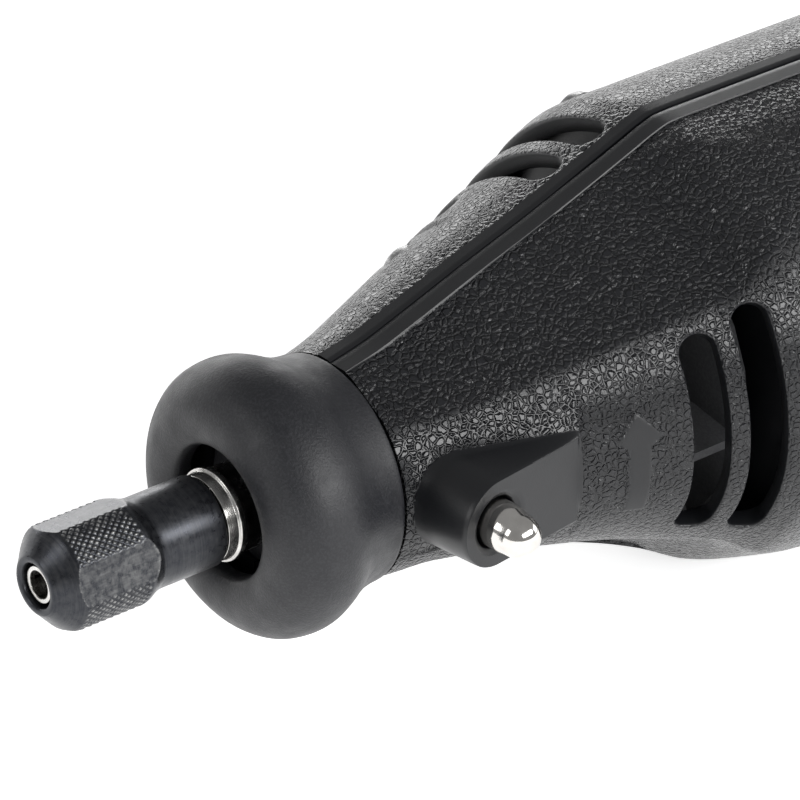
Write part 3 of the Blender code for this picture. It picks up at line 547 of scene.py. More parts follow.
class Half:
    """One half of the clamshell: a grid of stations and columns, outside and inside, with blocks of
    the grid taken out where a feature fills them."""

    def __init__(self, side):
        self.side = side
        self.sign = -1.0 if side == "left" else 1.0
        self.bm = bmesh.new()
        self.grain = self.bm.verts.layers.float.new("grain")
        self.stations = march(NOSE, REAR, row_spacing)
        top = [("top", t) for t in (0.0, 0.05, 0.12, 0.35, 0.6, 0.85, 0.97, 1.0)]
        foot = [("foot", t) for t in (1.0, 0.75, 0.5, 0.25, 0.06, 0.0)]
        angles = march(0.0, 180.0, turn_spacing(side))
        self.columns = top + [("turn", a / 180.0) for a in angles] + foot
        self.verts = {"outer": {}, "inner": {}}
        self.taken = {"outer": set(), "inner": set()}

    def strip(self, station):
        wide = STRIP[self.side]
        return wide + (outline(station)[0] / 12 - wide) * smooth_step(192, 199, station)

    def foot(self, station):
        radius = outline(station)[0]
        wide = FOOT * min(1.0, radius / 20.0)
        return wide + (radius / 12 - wide) * smooth_step(192, 199, station)

    def half_gap(self, station):
        """Half of the parting gap, wider to the rear, and round where the bail's ends go in."""
        gap = 0.03 + 0.13 * smooth_step(70.0, 80.0, station)
        hole = BAIL_HOLE**2 - (station - BAIL_STATION) ** 2
        return max(gap, math.sqrt(hole)) if hole > 0 else gap

    def ends(self, station):
        """The angles where the strips end and the round body starts."""
        radius = outline(station)[0]
        first = math.degrees(math.asin((self.strip(station) + STRIP_EDGE) / radius))
        return first, 180.0 - math.degrees(math.asin(self.foot(station) / radius))

    def section(self, station, angle):
        radius = outline(station)[0]
        if self.side == "left":
            lean = min(abs(angle - PANEL_ANGLE), abs(180.0 - PANEL_ANGLE - angle))
            flat = radius * panel_nearness(station)[0] / math.cos(math.radians(lean))
            radius = soft_min(radius, flat, PANEL_ROUND)
            radius += ARROW_RAISE * arrow_cover(station, angle)
        return radius * (1.0 - under_lift(station)[0] * smooth_step(UNDER_START, UNDER_FULL, angle))

    def skin(self, station, angle, depth=0.0):
        slope = outline(station)[1]
        length = math.hypot(1.0, slope)
        radius = self.section(station, angle) - depth / length
        turn = math.radians(angle)
        return place(
            station + slope * depth / length, self.sign * radius * math.sin(turn), radius * math.cos(turn)
        )

    def turn_at(self, station, z):
        """The angle at which the skin is at a height."""
        angle = 90.0
        for _ in range(8):
            angle = math.degrees(math.acos(max(-1.0, min(1.0, z / self.section(station, angle)))))
        return angle

    def under(self, station, z, depth=0.0):
        return self.skin(station, self.turn_at(station, z), depth)

    def corner(self, i, j, depth):
        """Where a grid corner is, and its grain."""
        station = self.stations[i]
        kind, share = self.columns[j]
        if kind == "turn":
            first, last = self.ends(station)
            angle = first + (last - first) * share
            return self.skin(station, angle, depth), 1.0 - (self.side == "left") * arrow_cover(station, angle)
        radius, slope = outline(station)
        length = math.hypot(1.0, slope)
        gap = self.half_gap(station)
        if kind == "top":
            wide = self.strip(station)
            raised = STRIP_RAISE * (1.0 - smooth_step(190, 198, station))
            z = math.sqrt(radius**2 - wide**2) + raised * smooth_step(1.0, 0.97, share)
            z -= 0.12 * (1.0 - smooth_step(0.0, 0.12, share)) + depth / length
        else:
            drawn_in = 1.0 - under_lift(station)[0]
            wide = self.foot(station)
            z = -math.sqrt(radius**2 - wide**2) * drawn_in + depth / length
            wide *= drawn_in
        y = max(gap, gap + (wide - gap) * share)
        return place(station + slope * depth / length, self.sign * y, z), 0.0

    def vert(self, layer, i, j):
        found = self.verts[layer]
        if (i, j) not in found:
            where, grain = self.corner(i, j, 0.0 if layer == "outer" else WALL)
            found[i, j] = self.bm.verts.new(where)
            found[i, j][self.grain] = grain if layer == "outer" else 0.0
        return found[i, j]

    def block(self, s0, s1, a0, a1, layers=("outer", "inner")):
        """Takes out the part of the grid that covers these stations and angles."""
        i0 = max(0, bisect.bisect_right(self.stations, s0) - 1)
        i1 = bisect.bisect_left(self.stations, s1)

        def angle(i, j):
            first, last = self.ends(self.stations[i])
            return first + (last - first) * self.columns[j][1]

        turns = [j for j, column in enumerate(self.columns) if column[0] == "turn"]
        before = [j for j in turns if max(angle(i0, j), angle(i1, j)) <= a0]
        after = [j for j in turns if min(angle(i0, j), angle(i1, j)) >= a1]
        j0 = before[-1] if before else turns[0]
        j1 = after[0] if after else turns[-1]
        for layer in layers:
            self.taken[layer] |= {(i, j) for i in range(i0, i1) for j in range(j0, j1)}
        return i0, i1, j0, j1

    def rim(self, layer, block):
        i0, i1, j0, j1 = block
        corners = [(i0, j) for j in range(j0, j1)] + [(i, j1) for i in range(i0, i1)]
        corners += [(i1, j) for j in range(j1, j0, -1)] + [(i, j0) for i in range(i1, i0, -1)]
        return [self.vert(layer, i, j) for i, j in corners]

    def trace(self, block, shape):
        """A shape's outline at as many points as the block's rim has: shape(side, share)."""
        i0, i1, j0, j1 = block
        counts = (j1 - j0, i1 - i0, j1 - j0, i1 - i0)
        return [shape(k, n / count) for k, count in enumerate(counts) for n in range(count)]

    def ring(self, places, grain=0.0):
        loop = [self.bm.verts.new(where) for where in places]
        for vert in loop:
            vert[self.grain] = grain
        return loop

    def close(self):
        """The grid's faces, and the rims that join the outside to the inside."""
        rows, columns = len(self.stations), len(self.columns)
        for layer in ("outer", "inner"):
            for i in range(rows - 1):
                for j in range(columns - 1):
                    if (i, j) not in self.taken[layer]:
                        corners = ((i, j), (i + 1, j), (i + 1, j + 1), (i, j + 1))
                        self.bm.faces.new([self.vert(layer, *corner) for corner in corners])
        edge = [(0, j) for j in range(columns)] + [(i, columns - 1) for i in range(1, rows)]
        edge += [(rows - 1, j) for j in range(columns - 2, -1, -1)] + [(i, 0) for i in range(rows - 2, 0, -1)]
        bridge(self.bm, [self.vert("outer", *c) for c in edge], [self.vert("inner", *c) for c in edge])

    def half_ring(self, profile):
        """A bulkhead: a turned profile cut off at the parting plane and kept inside the wall."""
        steps = 40
        rings = []
        for k in range(steps + 1):
            turn = math.pi * k / steps
            ring = []
            for s, r in profile:
                if s > NOSE + 1.0:
                    r = min(r, self.section(s, 180.0 * k / steps) - WALL + 0.1)
                where = place(s, self.sign * max(0.16, r * math.sin(turn)), r * math.cos(turn))
                ring.append(self.bm.verts.new(where))
            rings.append(ring)
        chain(self.bm, rings)
        self.bm.faces.new(rings[0])
        self.bm.faces.new(list(reversed(rings[-1])))


def circle(station, z, radius):
    def shape(side, share):
        turn = math.radians(135.0 + 90.0 * (side + share))
        return station + radius * math.cos(turn), z + radius * math.sin(turn)
    return shape


def rounded_rectangle(station, long, high, corner):
    """Half length, half height and corner radius."""
    def shape(side, share):
        reach = (long, high, long, high)[side] - corner
        width = (high, long, high, long)[side] - corner
        if share < 0.25:
            turn, along = -45.0 + 180.0 * share, -width
        elif share > 0.75:
            turn, along = 180.0 * (share - 0.75), width
        else:
            turn, along = 0.0, width * (4.0 * share - 2.0)
        out = reach + corner * math.cos(math.radians(turn))
        side_way = along + corner * math.sin(math.radians(turn))
        facing = math.radians(180.0 + 90.0 * side)
        return (
            station + out * math.cos(facing) - side_way * math.sin(facing),
            out * math.sin(facing) + side_way * math.cos(facing),
        )
    return shape


def vent(half, station, start, end):
    """A round-ended slot through the wall, with a rounded lip."""
    radius = half.section(station, (start + end) / 2)
    degree = math.degrees(1.0 / radius)
    block = half.block(station - 2.85, station + 2.85, start - 1.1 * degree, end + 1.1 * degree)

    def grown(amount):
        reach = VENT_HALF + amount
        low, high = start + VENT_HALF * degree, end - VENT_HALF * degree

        def shape(side, share):
            bulge = reach * math.sin(math.pi * share)
            if side == 0:
                return station - reach, low + (high - low) * share
            if side == 1:
                return station - reach * math.cos(math.pi * share), high + bulge * degree
            if side == 2:
                return station + reach, high + (low - high) * share
            return station + reach * math.cos(math.pi * share), low - bulge * degree
        return half.trace(block, shape)

    def loop(amount, depth, grain):
        return half.ring([half.skin(s, a, depth) for s, a in grown(amount)], grain)

    chain(half.bm, [
        half.rim("outer", block), loop(0.42, 0.0, 1.0), loop(0.26, 0.01, 0.9), loop(0.1, 0.09, 0.4),
        loop(0.01, 0.24, 0.0), loop(0.0, 0.5, 0.0), loop(0.0, WALL - 0.25, 0.0), loop(0.15, WALL, 0.0),
        half.rim("inner", block),
    ])


def span_of(half, station, z, radius):
    """The stations and angles of a block that holds a circle along Y."""
    topmost = min(z + radius, outline(station)[0] - 0.5)
    low = min(half.turn_at(station + d, topmost) for d in (-radius, radius))
    high = max(half.turn_at(station + d, z - radius) for d in (-radius, radius))
    return station - radius, station + radius, low, high


def y_loops(half, block, shape_of, stops):
    """Rings of a hole along Y: each stop is a size and either a depth under the skin or ('y', place)."""
    loops = []
    for size, where in stops:
        points = half.trace(block, shape_of(size))
        if isinstance(where, tuple):
            loops.append(half.ring([place(s, half.sign * where[1], z) for s, z in points]))
        else:
            loops.append(half.ring([half.under(s, z, where) for s, z in points], float(where == 0.0)))
    return loops


def bore(half, station, z, radius):
    """A round hole through the wall, with a small lip."""
    block = half.block(*span_of(half, station, z, radius + 1.0))
    stops = [(radius + 0.35, 0.0), (radius + 0.1, 0.07), (radius, 0.3), (radius, WALL)]
    loops = y_loops(half, block, lambda size: circle(station, z, size), stops)
    chain(half.bm, [half.rim("outer", block), *loops, half.rim("inner", block)])


def post(half, station, z):
    """A screw post: on the right with its counterbore and clearance hole, on the left with a pilot."""
    reach = math.sqrt(outline(station)[0] ** 2 - z * z)

    def shape(size):
        return circle(station, z, size)

    if half.side == "right":
        block = half.block(*span_of(half, station, z, 4.2))
        stops = [
            (3.65, 0.0), (3.4, 0.08), (3.3, 0.3), (3.3, ("y", reach - 4.0)), (1.9, ("y", reach - 4.0)),
            (1.9, ("y", 0.16)), (4.1, ("y", 0.16)), (4.1, WALL),
        ]
        loops = y_loops(half, block, shape, stops)
        chain(half.bm, [half.rim("outer", block), *loops, half.rim("inner", block)])
    else:
        block = half.block(*span_of(half, station, z, 4.6), layers=("inner",))
        depth = SCREW_DEPTHS[station] + 0.6
        stops = [(4.1, WALL), (4.1, ("y", 0.16)), (1.6, ("y", 0.16)), (1.6, ("y", depth))]
        loops = y_loops(half, block, shape, stops)
        chain(half.bm, [half.rim("inner", block), *loops])
        half.bm.faces.new(loops[-1])


def lock_boss(half):
    """The lock button's boss: round in front, drafted, running out into the body at its rear."""
    low, high = half.turn_at(46.0, 6.0), half.turn_at(46.0, -6.0)
    block = half.block(40.3, 60.6, low - 4.0, high + 4.0)

    def tracing(reach):
        rear = BOSS_REAR - 0.8 * (BOSS_FOOT - reach)

        def shape(side, share):
            if side == 0:
                turn = math.pi * (0.5 + share)
                return BOSS_CENTRE + reach * math.cos(turn), reach * math.sin(turn)
            along = (rear - BOSS_CENTRE) * share
            if side == 1:
                return BOSS_CENTRE + along, -reach
            if side == 2:
                return rear, reach * (2 * share - 1)
            return rear - along, reach
        return half.trace(block, shape)

    def lifted(station, z, share, drop=0.0):
        """A place part of the way from the skin up to the end face, which sinks into the skin."""
        angle = half.turn_at(station, z)
        skin_y = math.sin(math.radians(angle)) * half.section(station, angle)
        lean = (BOSS_FACE - BOSS_LOW) * (station - BOSS_CENTRE) / (BOSS_REAR - BOSS_CENTRE)
        rise = BOSS_FACE - lean - drop - skin_y
        rise = (rise + math.sqrt(rise * rise + 0.06)) / 2
        return place(station, -(skin_y + 0.02 + rise * share), z)

    def wall(share, inset=0.0, drop=0.0):
        reach = BOSS_FOOT - 0.1 - 0.62 * share - inset
        return half.ring([lifted(s, z, share, drop) for s, z in tracing(reach)])

    foot = half.ring([half.under(s, z) for s, z in tracing(BOSS_FOOT)], 1.0)
    sides = [wall(share) for share in (0.02, 0.2, 0.45, 0.7, 0.9)]
    edge = [wall(0.99, 0.02, 0.05), wall(1.0, 0.09), wall(1.0, 0.2), wall(1.0, 0.45)]

    rim = tracing(BOSS_FOOT - 0.1 - 0.62 - 0.45)
    mouth = half.trace(block, circle(LOCK_STATION, 0.0, 3.75))

    def between(share):
        return half.ring([
            lifted(s + (u - s) * share, z + (w - z) * share, 1.0) for (s, z), (u, w) in zip(rim, mouth)
        ])

    face = [between(share) for share in (0.1, 0.2, 0.35, 0.5, 0.65, 0.8, 0.92)]

    def hole(radius, y=None, drop=0.0):
        points = half.trace(block, circle(LOCK_STATION, 0.0, radius))
        if y is None:
            return half.ring([lifted(s, z, 1.0, drop) for s, z in points])
        return half.ring([place(s, -y, z) for s, z in points])

    way = [
        hole(3.75), hole(3.62, drop=0.05), hole(3.2, drop=0.3), hole(3.06, drop=0.42), hole(3.02, drop=0.7),
    ]
    way += [hole(3.02, 11.3), hole(2.0, 11.3), hole(2.0, 9.9), hole(4.3, 9.9), hole(4.3, 11.6)]
    chain(half.bm, [half.rim("outer", block), foot, *sides, *edge, *face, *way, half.rim("inner", block)])


def switch_window(half):
    """The slide switch's recess and the slot in its floor."""
    middle = SWITCH_STATION - 2.5
    block = half.block(middle - 12.6, middle + 12.6, half.turn_at(middle, 7.2), half.turn_at(middle, -7.2))

    def loops(shape_of, stops):
        return y_loops(half, block, shape_of, stops)

    recess = loops(
        lambda grow: rounded_rectangle(middle, 11.5 + grow, 6.0 + grow, 2.4 + grow),
        [(0.3, 0.0), (0.06, 0.08), (0.0, 0.3), (-0.1, ("y", 27.5)), (-0.5, ("y", 27.3))],
    )
    slot = loops(
        lambda grow: rounded_rectangle(middle, 7.1 + grow, 3.6 + grow, 1.2 + max(grow, 0.0)),
        [(0.2, ("y", 27.3)), (0.0, ("y", 27.1)), (0.0, ("y", 25.4)), (1.0, WALL + 0.2)],
    )
    chain(half.bm, [half.rim("outer", block), *recess, *slot, half.rim("inner", block)])


def bulkheads(half):
    """The spigot under the nose cap and the webs that carry the bearings."""
    half.half_ring([
        (29.4, 8.0), (29.4, 11.0), (29.7, 11.3), (40.2, 11.3), (41.0, 11.9), (46.5, 13.2), (46.5, 12.0),
        (43.0, 9.8), (39.3, 9.2), (38.6, 8.0), (37.9, 8.0), (37.9, 9.5), (31.0, 9.5), (31.0, 8.0),
    ])
    for s0, s1, inside in ((51.0, 58.6, 9.5), (86.0, 94.0, 9.5), (157.0, 161.5, 10.8)):
        half.half_ring([
            (s0, inside), (s0, outline(s0)[0] - WALL + 0.1), (s1, outline(s1)[0] - WALL + 0.1), (s1, inside),
        ])


def housing(side):
    half = Half(side)
    for slot_place in VENTS[side]:
        vent(half, *slot_place)
    for station, height in SCREWS:
        post(half, station, height)
        post(half, station, -height)
    bore(half, BRUSH_STATION, 0.0, 5.4)
    if side == "left":
        lock_boss(half)
        switch_window(half)
        bore(half, DIAL_STATION, 0.0, DIAL_RADIUS + 0.4)
    half.close()
    bulkheads(half)
    publish(half.bm, side + "_shell", HOUSING, "housing", "housing_plastic", "housing_" + side, sharp=50)


for side in ("left", "right"):
    housing(side)


# Nose cap, collet nut, collet and spindle

def flared_cap():
    """The cap's outside is one smooth curve, from the rim of its hole over the flange to its rear."""
    points = [
        (25.0, 7.65), (24.3, 8.0), (23.8, 8.9), (23.6, 10.1), (23.8, 11.5), (24.5, 13.0), (25.8, 14.5),
        (27.6, 15.6), (29.6, 16.0), (31.4, 15.9), (33.1, 15.3), (34.7, 14.5), (36.4, 13.85), (38.2, 13.5),
        (39.5, 13.4),
    ]
    outside = []
    for k in range(len(points) - 1):
        around = [Vector(points[max(0, min(len(points) - 1, k + d))]) for d in (-1, 0, 1, 2)]
        for n in range(5):
            t = n / 5
            a, b, c, d = around
            square, cube = a * 2 - b * 5 + c * 4 - d, b * 3 - a - c * 3 + d
            bend = (b * 2 + (c - a) * t + square * t**2 + cube * t**3) / 2
            outside.append((bend.x, bend.y))
    inside = [
        (39.65, 13.37), (39.75, 13.25), (39.8, 13.0), (39.8, 11.7), (28.4, 11.7), (28.4, 10.0), (26.4, 7.65),
    ]
    bm = bmesh.new()
    revolve(bm, outside + inside, 160, on_axis)
    return publish(bm, "flared_cap", CAP, "housing", "cap_plastic", "nose_cap", sharp=50)


flared_cap()

NUT_RADIUS, NUT_NECK = 6.15, 5.25
KNURL_FRONT, KNURL_REAR, KNURL_DEPTH, KNURL_COUNT, KNURL_PITCH = 2.7, 11.2, 0.2, 50, 0.95
FLAT_NEAR, FLAT_TURN = 5.6, 75.0
nut_outline = curve([
    (0.0, 3.3), (0.12, 3.46), (0.5, 3.86), (2.2, 5.72), (2.55, 6.02), (2.9, NUT_RADIUS), (11.0, NUT_RADIUS),
    (11.6, 6.05), (12.6, 5.62), (13.4, 5.34), (14.2, NUT_NECK), (21.6, NUT_NECK), (21.8, 5.17), (21.9, 5.0),
])


def knurled_nut():
    """A knurled nut with four milled flats that run out into the turned neck."""
    bm = bmesh.new()
    wear = bm.verts.layers.float.new("wear")
    sides = 400
    stations = march(0.0, 21.9, lambda s: 0.1 if 0.3 < s < 13.5 else 0.06 if s < 0.3 or s > 21.4 else 0.5)
    rings = []
    for station in stations:
        base = nut_outline(station)[0]
        knurled = smooth_step(KNURL_FRONT - 0.2, KNURL_FRONT + 0.25, station)
        knurled *= smooth_step(KNURL_REAR + 0.1, KNURL_REAR - 0.5, station)
        ring = []
        for k in range(sides):
            angle = 360.0 * k / sides
            turn = KNURL_COUNT * k / sides
            ridges = [abs(2.0 * ((turn + way * station / KNURL_PITCH) % 1.0) - 1.0) for way in (1, -1)]
            height = min(1.0, 1.5 * min(ridges))
            radius = base - KNURL_DEPTH * knurled * (1.0 - height)
            lean = (angle - FLAT_TURN + 45.0) % 90.0 - 45.0
            limit = FLAT_NEAR / math.cos(math.radians(lean))
            tip = knurled * smooth_step(0.5, 1.0, height)
            if limit < radius:
                tip = 0.4 * smooth_step(0.2, 0.0, abs(base - limit)) + 0.22
            radius = min(radius, limit)
            y, z = -radius * math.sin(math.radians(angle)), radius * math.cos(math.radians(angle))
            vert = bm.verts.new(place(station, y, z))
            vert[wear] = tip
            ring.append(vert)
        rings.append(ring)
    inside = [(21.9, 4.4), (21.8, 4.3), (5.4, 4.3), (3.4, 3.5), (1.0, 2.6), (0.25, 2.55), (0.0, 2.75)]
    for station, radius in inside:
        turns = [2 * math.pi * k / sides for k in range(sides)]
        rings.append([
            bm.verts.new(place(station, -radius * math.sin(t), radius * math.cos(t))) for t in turns
        ])
    chain(bm, rings)
    bridge(bm, rings[-1], rings[0])
    return publish(bm, "knurled_nut", BLACK_OXIDE, "collet_nut", "black_oxide_steel", "collet_nut", sharp=55)


knurled_nut()

collet = turned(
    "slit_collet",
    [(0.5, 1.6), (0.5, 2.15), (1.1, 2.15), (3.2, 3.1), (4.6, 3.1), (6.6, 2.15), (18.0, 2.15), (18.0, 1.6)],
    BRIGHT, "collet", "bright_steel", "collet", sides=72, radius=0.14,
)
for third in range(3):
    cut(collet, block_tool(1.2, 13.0, -0.2, 0.2, 0.4, 5.0, 120.0 * third + 30.0))

shaft_profile = [
    (5.7, 3.35), (5.7, 3.75), (6.1, 4.0), (22.2, 4.0), (22.2, 4.95), (23.5, 5.05), (23.65, 5.38),
    (24.4, 5.38), (24.4, 4.95), (30.7, 4.95), (30.7, 4.0), (37.8, 4.0), (37.8, 5.0),
    (51.2, 5.0), (51.2, 4.0), (58.6, 4.0), (58.6, 3.5), (64.5, 3.5), (64.5, 0.3), (20.5, 0.3), (20.5, 2.45),
    (7.3, 2.45),
]
shaft = turned(
    "output_shaft", shaft_profile, BRIGHT, "spindle", "bright_steel", "spindle", sides=80, radius=0.08
)
tool = bmesh.new()
revolve(tool, [(-8.0, 2.05), (8.0, 2.05)], 32, across(LOCK_STATION), closed=False)
cut(shaft, tool)


# Spindle lock

def lock_button():
    """A polished pin with a chamfered, domed end, and a thinner shank behind it."""
    turns = [0.06 + 0.11 * k for k in range(14)]
    dome = [(-24.3 - 2.5 * math.cos(a), 2.5 * math.sin(a)) for a in turns]
    shank = [(-23.95, 2.52), (-23.2, 2.7), (-22.9, PIN_RADIUS), (-18.1, PIN_RADIUS), (-18.0, 2.65)]
    shank += [(-18.0, 1.7), (-5.9, 1.7), (-5.4, 1.2)]
    bm = bmesh.new()
    revolve(bm, dome + shank, 64, across(LOCK_STATION), closed=False)
    return publish(bm, "lock_button", POLISHED, "lock_pin", "polished_steel", "lock_pin", sharp=24)


lock_button()


# Controls, screws, inlet and bail

def screw(number, station, height):
    reach = math.sqrt(outline(station)[0] ** 2 - height**2)
    seat = reach - 4.0
    bm = bmesh.new()
    head = [(seat + 0.3, 1.3), (seat + 0.3, 2.9), (seat + 1.5, 2.9)]
    head += [(seat + 2.2 - 0.7 * (1 - math.sin(a)), 2.9 * math.cos(a * 0.92)) for a in (0.3, 0.7, 1.1, 1.45)]
    tip = -SCREW_DEPTHS[station]
    thread = [(tip, 0.5), (tip + 0.9, 1.05)]
    for k in range(int(-tip / 0.9) + 4):
        start = tip + 1.1 + 0.9 * k
        thread += [(start, 1.05), (start + 0.45, 1.3), (start + 0.85, 1.05)]
    revolve(bm, thread + head, 40, across(station, height), closed=False)
    node = f"housing_screw_{number}"
    made = publish(bm, f"case_screw_{number}", SCREW_STEEL, "housing", "bright_steel", node, sharp=30)
    for long, high in ((1.55, 0.32), (0.32, 1.55)):
        cut(made, block_tool(
            station - long, station + long, seat + 1.3, seat + 4.0, height - high, height + high,
        ))


count = 0
for screw_station, screw_height in SCREWS:
    for way in (1, -1):
        count += 1
        screw(count, screw_station, way * screw_height)


def slide_button():
    """The switch's slider: a plate behind the slot and a ribbed, rounded thumb piece."""
    bm = block_tool(SWITCH_STATION - 9, SWITCH_STATION + 9, -24.7, -23.6, -5.2, 5.2, bevel=0.2)
    piece = publish(bm, "slide_button", CONTROL, "power_switch", "control_plastic", "power_switch", sharp=35)
    bm = bmesh.new()
    rows = march(-4.2, 4.2, lambda s: 0.14)
    rings = []
    for u in rows:
        ridge = 0.45 * (0.5 + 0.5 * math.cos(2 * math.pi * u / 1.4)) * smooth_step(4.0, 3.4, abs(u))
        shoulder = 0.5 * smooth_step(3.6, 4.2, abs(u))
        top = -28.9 + ridge + shoulder
        ring = []
        for v, out in ((-3.2, -24.4), (-3.2, top + 0.7), (-3.0, top + 0.25), (-2.6, top), (-1.3, top),
                       (0.0, top), (1.3, top), (2.6, top), (3.0, top + 0.25), (3.2, top + 0.7), (3.2, -24.4)):
            ring.append(bm.verts.new(place(SWITCH_STATION + u, out, v)))
        rings.append(ring)
    chain(bm, rings)
    bm.faces.new(rings[0])
    bm.faces.new(list(reversed(rings[-1])))
    knob = publish(bm, "slide_button_knob", CONTROL, "power_switch", "control_plastic", sharp=35)
    return piece, knob


slide_button()


def thumb_wheel():
    """The speed dial: fluted all round, with a groove that points at the setting."""
    bm = bmesh.new()
    sides = 288
    stops = [
        (-21.2, 0.3, 0), (-21.2, 6.6, 0), (-21.5, 6.9, 1), (-22.0, 7.0, 1), (-26.2, 7.0, 1),
        (-26.7, 6.85, 1), (-27.0, 6.5, 0), (-27.1, 6.0, 0), (-27.1, 4.6, 0), (-26.75, 4.2, 0),
        (-26.7, 0.3, 0),
    ]
    rings = []
    for y, radius, fluted in stops:
        ring = []
        for k in range(sides):
            turn = 2 * math.pi * k / sides
            flute = 0.3 * fluted * (0.5 + 0.5 * math.cos(24 * turn)) ** 2
            r = radius - flute
            ring.append(bm.verts.new(place(DIAL_STATION + r * math.cos(turn), y, r * math.sin(turn))))
        rings.append(ring)
    chain(bm, rings)
    bm.faces.new(rings[0])
    bm.faces.new(list(reversed(rings[-1])))
    wheel = publish(bm, "thumb_wheel", CONTROL, "speed_dial", "control_plastic", "speed_dial", sharp=35)
    cut(wheel, block_tool(DIAL_STATION - 6.4, DIAL_STATION - 4.9, -28.0, -26.75, -0.35, 0.35))


thumb_wheel()

for side, label in ((-1, "left"), (1, "right")):
    profile = [
        (side * 23.8, 0.4), (side * 23.8, 4.4), (side * 24.4, 5.0), (side * 27.9, 5.0), (side * 28.5, 4.5),
        (side * 28.5, 3.6), (side * 28.1, 3.2), (side * 28.1, 0.4),
    ]
    made = turned(
        f"{label}_brush_cap", profile, CAP, "housing", "control_plastic", f"brush_cap_{label}",
        sides=64, radius=0.2, frame_of=across(BRUSH_STATION),
    )
    low, high = sorted((side * 27.2, side * 30.0))
    cut(made, block_tool(BRUSH_STATION - 5.4, BRUSH_STATION + 5.4, low, high, -0.6, 0.6))

inlet = [
    (207.6, 3.7), (207.6, 9.4), (209.6, 9.4), (209.6, 7.4), (212.7, 7.4), (212.7, 9.6), (213.4, 9.6),
    (213.4, 9.2), (213.8, 9.2), (213.8, 9.6), (214.4, 9.3), (214.8, 8.4), (214.8, 4.3), (214.2, 3.7),
]
turned("inlet_bush", inlet, RUBBER, "housing", "rubber", "cord_inlet", sides=80, radius=0.25)


def wire_loop():
    """The hanger bail: round wire, bent in at both ends to sit in its holes."""
    arm, wire = 26.0, 1.25
    reach = 233.0 - wire - BAIL_STATION
    points = [(0.0, 21.4), (0.0, 23.6), (0.25, 25.0), (0.9, 25.8), (2.0, arm)]
    for k in range(49):
        turn = math.pi * k / 48
        points.append((9.0 + (reach - 9.0) * math.sin(turn) ** 0.8, arm * math.cos(turn)))
    points += [(u, -v) for u, v in reversed(points[:5])]
    bm = bmesh.new()
    rings = []
    for k, (u, v) in enumerate(points):
        before, after = points[max(k - 1, 0)], points[min(k + 1, len(points) - 1)]
        along = Vector((after[0] - before[0], 0.0, after[1] - before[1])).normalized()
        side = Vector((0.0, 1.0, 0.0))
        out = along.cross(side)
        centre = place(BAIL_STATION + u, 0.0, v)
        turns = [2 * math.pi * n / 20 for n in range(20)]
        rings.append([
            bm.verts.new(centre + (side * math.cos(t) + out * math.sin(t)) * wire * MM) for t in turns
        ])
    chain(bm, rings)
    bm.faces.new(rings[0])
    bm.faces.new(list(reversed(rings[-1])))
    return publish(bm, "wire_bail", WIRE, "hanger_bail", "bail_wire", "hanger_bail", sharp=60)


wire_loop()


# The remaining CAD nodes keep their shape and take a finish by material slot

FINISHES = {
    "bright_steel": BRIGHT, "lamination_steel": LAMINATION, "copper": COPPER, "brass": BRASS,
    "carbon": CARBON, "control_plastic": CONTROL, "board_laminate": LAMINATE, "rubber": RUBBER,
    "cap_plastic": CAP, "polished_steel": POLISHED, "bail_wire": WIRE, "housing_plastic": HOUSING,
    "black_oxide_steel": BLACK_OXIDE,
}
slots = {row["node"]: row["material_slot"] for row in frame["record"]["subparts"]}
for name, node in frame["nodes"].items():
    node.data.materials.clear()
    node.data.materials.append(FINISHES[slots[name]])


# Floor, light and camera

def stage_material(name, colour, roughness, glow):
    """The floor is a light table, so that it stays pale and the tool's shadow faint."""
    made = bpy.data.materials.new(name)
    made.use_nodes = True
    shader = made.node_tree.nodes["Principled BSDF"]
    shader.inputs["Base Color"].default_value = (*colour, 1.0)
    shader.inputs["Roughness"].default_value = roughness
    shader.inputs["Emission Color"].default_value = (1.0, 1.0, 1.0, 1.0)
    shader.inputs["Emission Strength"].default_value = glow
    return made


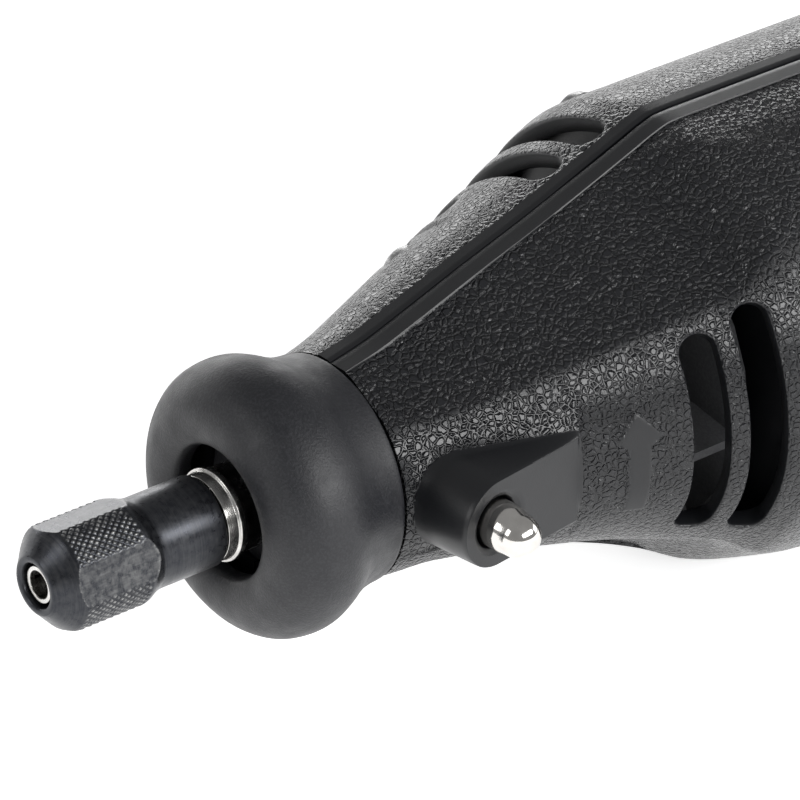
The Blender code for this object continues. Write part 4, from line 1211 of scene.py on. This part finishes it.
def floor():
    bm = bmesh.new()
    bmesh.ops.create_grid(bm, x_segments=1, y_segments=1, size=6.0)
    mesh = bpy.data.meshes.new("floor")
    bm.to_mesh(mesh)
    bm.free()
    mesh.materials.append(stage_material("pale_floor", (0.94, 0.94, 0.94), 0.9, 0.72))
    made = bpy.data.objects.new("floor", mesh)
    made.location.z = cad_bounds[0].z
    bpy.context.scene.collection.objects.link(made)


def lamp(name, where, target, size, power):
    data = bpy.data.lights.new(name, "AREA")
    data.shape = "RECTANGLE"
    data.size, data.size_y = size
    data.energy = power
    made = bpy.data.objects.new(name, data)
    made.location = where
    made.rotation_euler = (Vector(target) - Vector(where)).to_track_quat("-Z", "Y").to_euler()
    bpy.context.scene.collection.objects.link(made)


floor()
subject = place(60.0)
lamp("key_softbox", place(60) + Vector((0.22, -0.88, 0.46)), subject, (1.1, 0.3), 10.0)
lamp("side_softbox", place(60) + Vector((1.0, -0.35, 0.25)), subject, (0.5, 0.4), 1.2)
lamp("nose_softbox", place(60) + Vector((-0.95, 0.25, 0.5)), subject, (0.35, 0.5), 2.0)
lamp("back_softbox", place(60) + Vector((0.3, 1.0, 0.22)), subject, (1.4, 0.25), 5.0)

world = bpy.data.worlds.new("studio")
world.use_nodes = True
world.node_tree.nodes["Background"].inputs["Color"].default_value = (1.0, 1.0, 1.0, 1.0)
world.node_tree.nodes["Background"].inputs["Strength"].default_value = 0.3
bpy.context.scene.world = world
bpy.context.scene.view_settings.view_transform = "Standard"

CAMERA_FROM_FACE = (-286.10, -410.56, 299.79)  # millimetres from the nut's front face
CAMERA_TURN = (60.942, 0.0, -39.300)
camera_data = bpy.data.cameras.new("camera")
camera_data.lens = 247.5
camera_data.sensor_width = 36.0
camera_data.clip_end = 20.0
camera = bpy.data.objects.new("camera", camera_data)
camera.location = place(0) + Vector(CAMERA_FROM_FACE) * MM
camera.rotation_euler = [math.radians(a) for a in CAMERA_TURN]
bpy.context.scene.collection.objects.link(camera)
bpy.context.scene.camera = camera
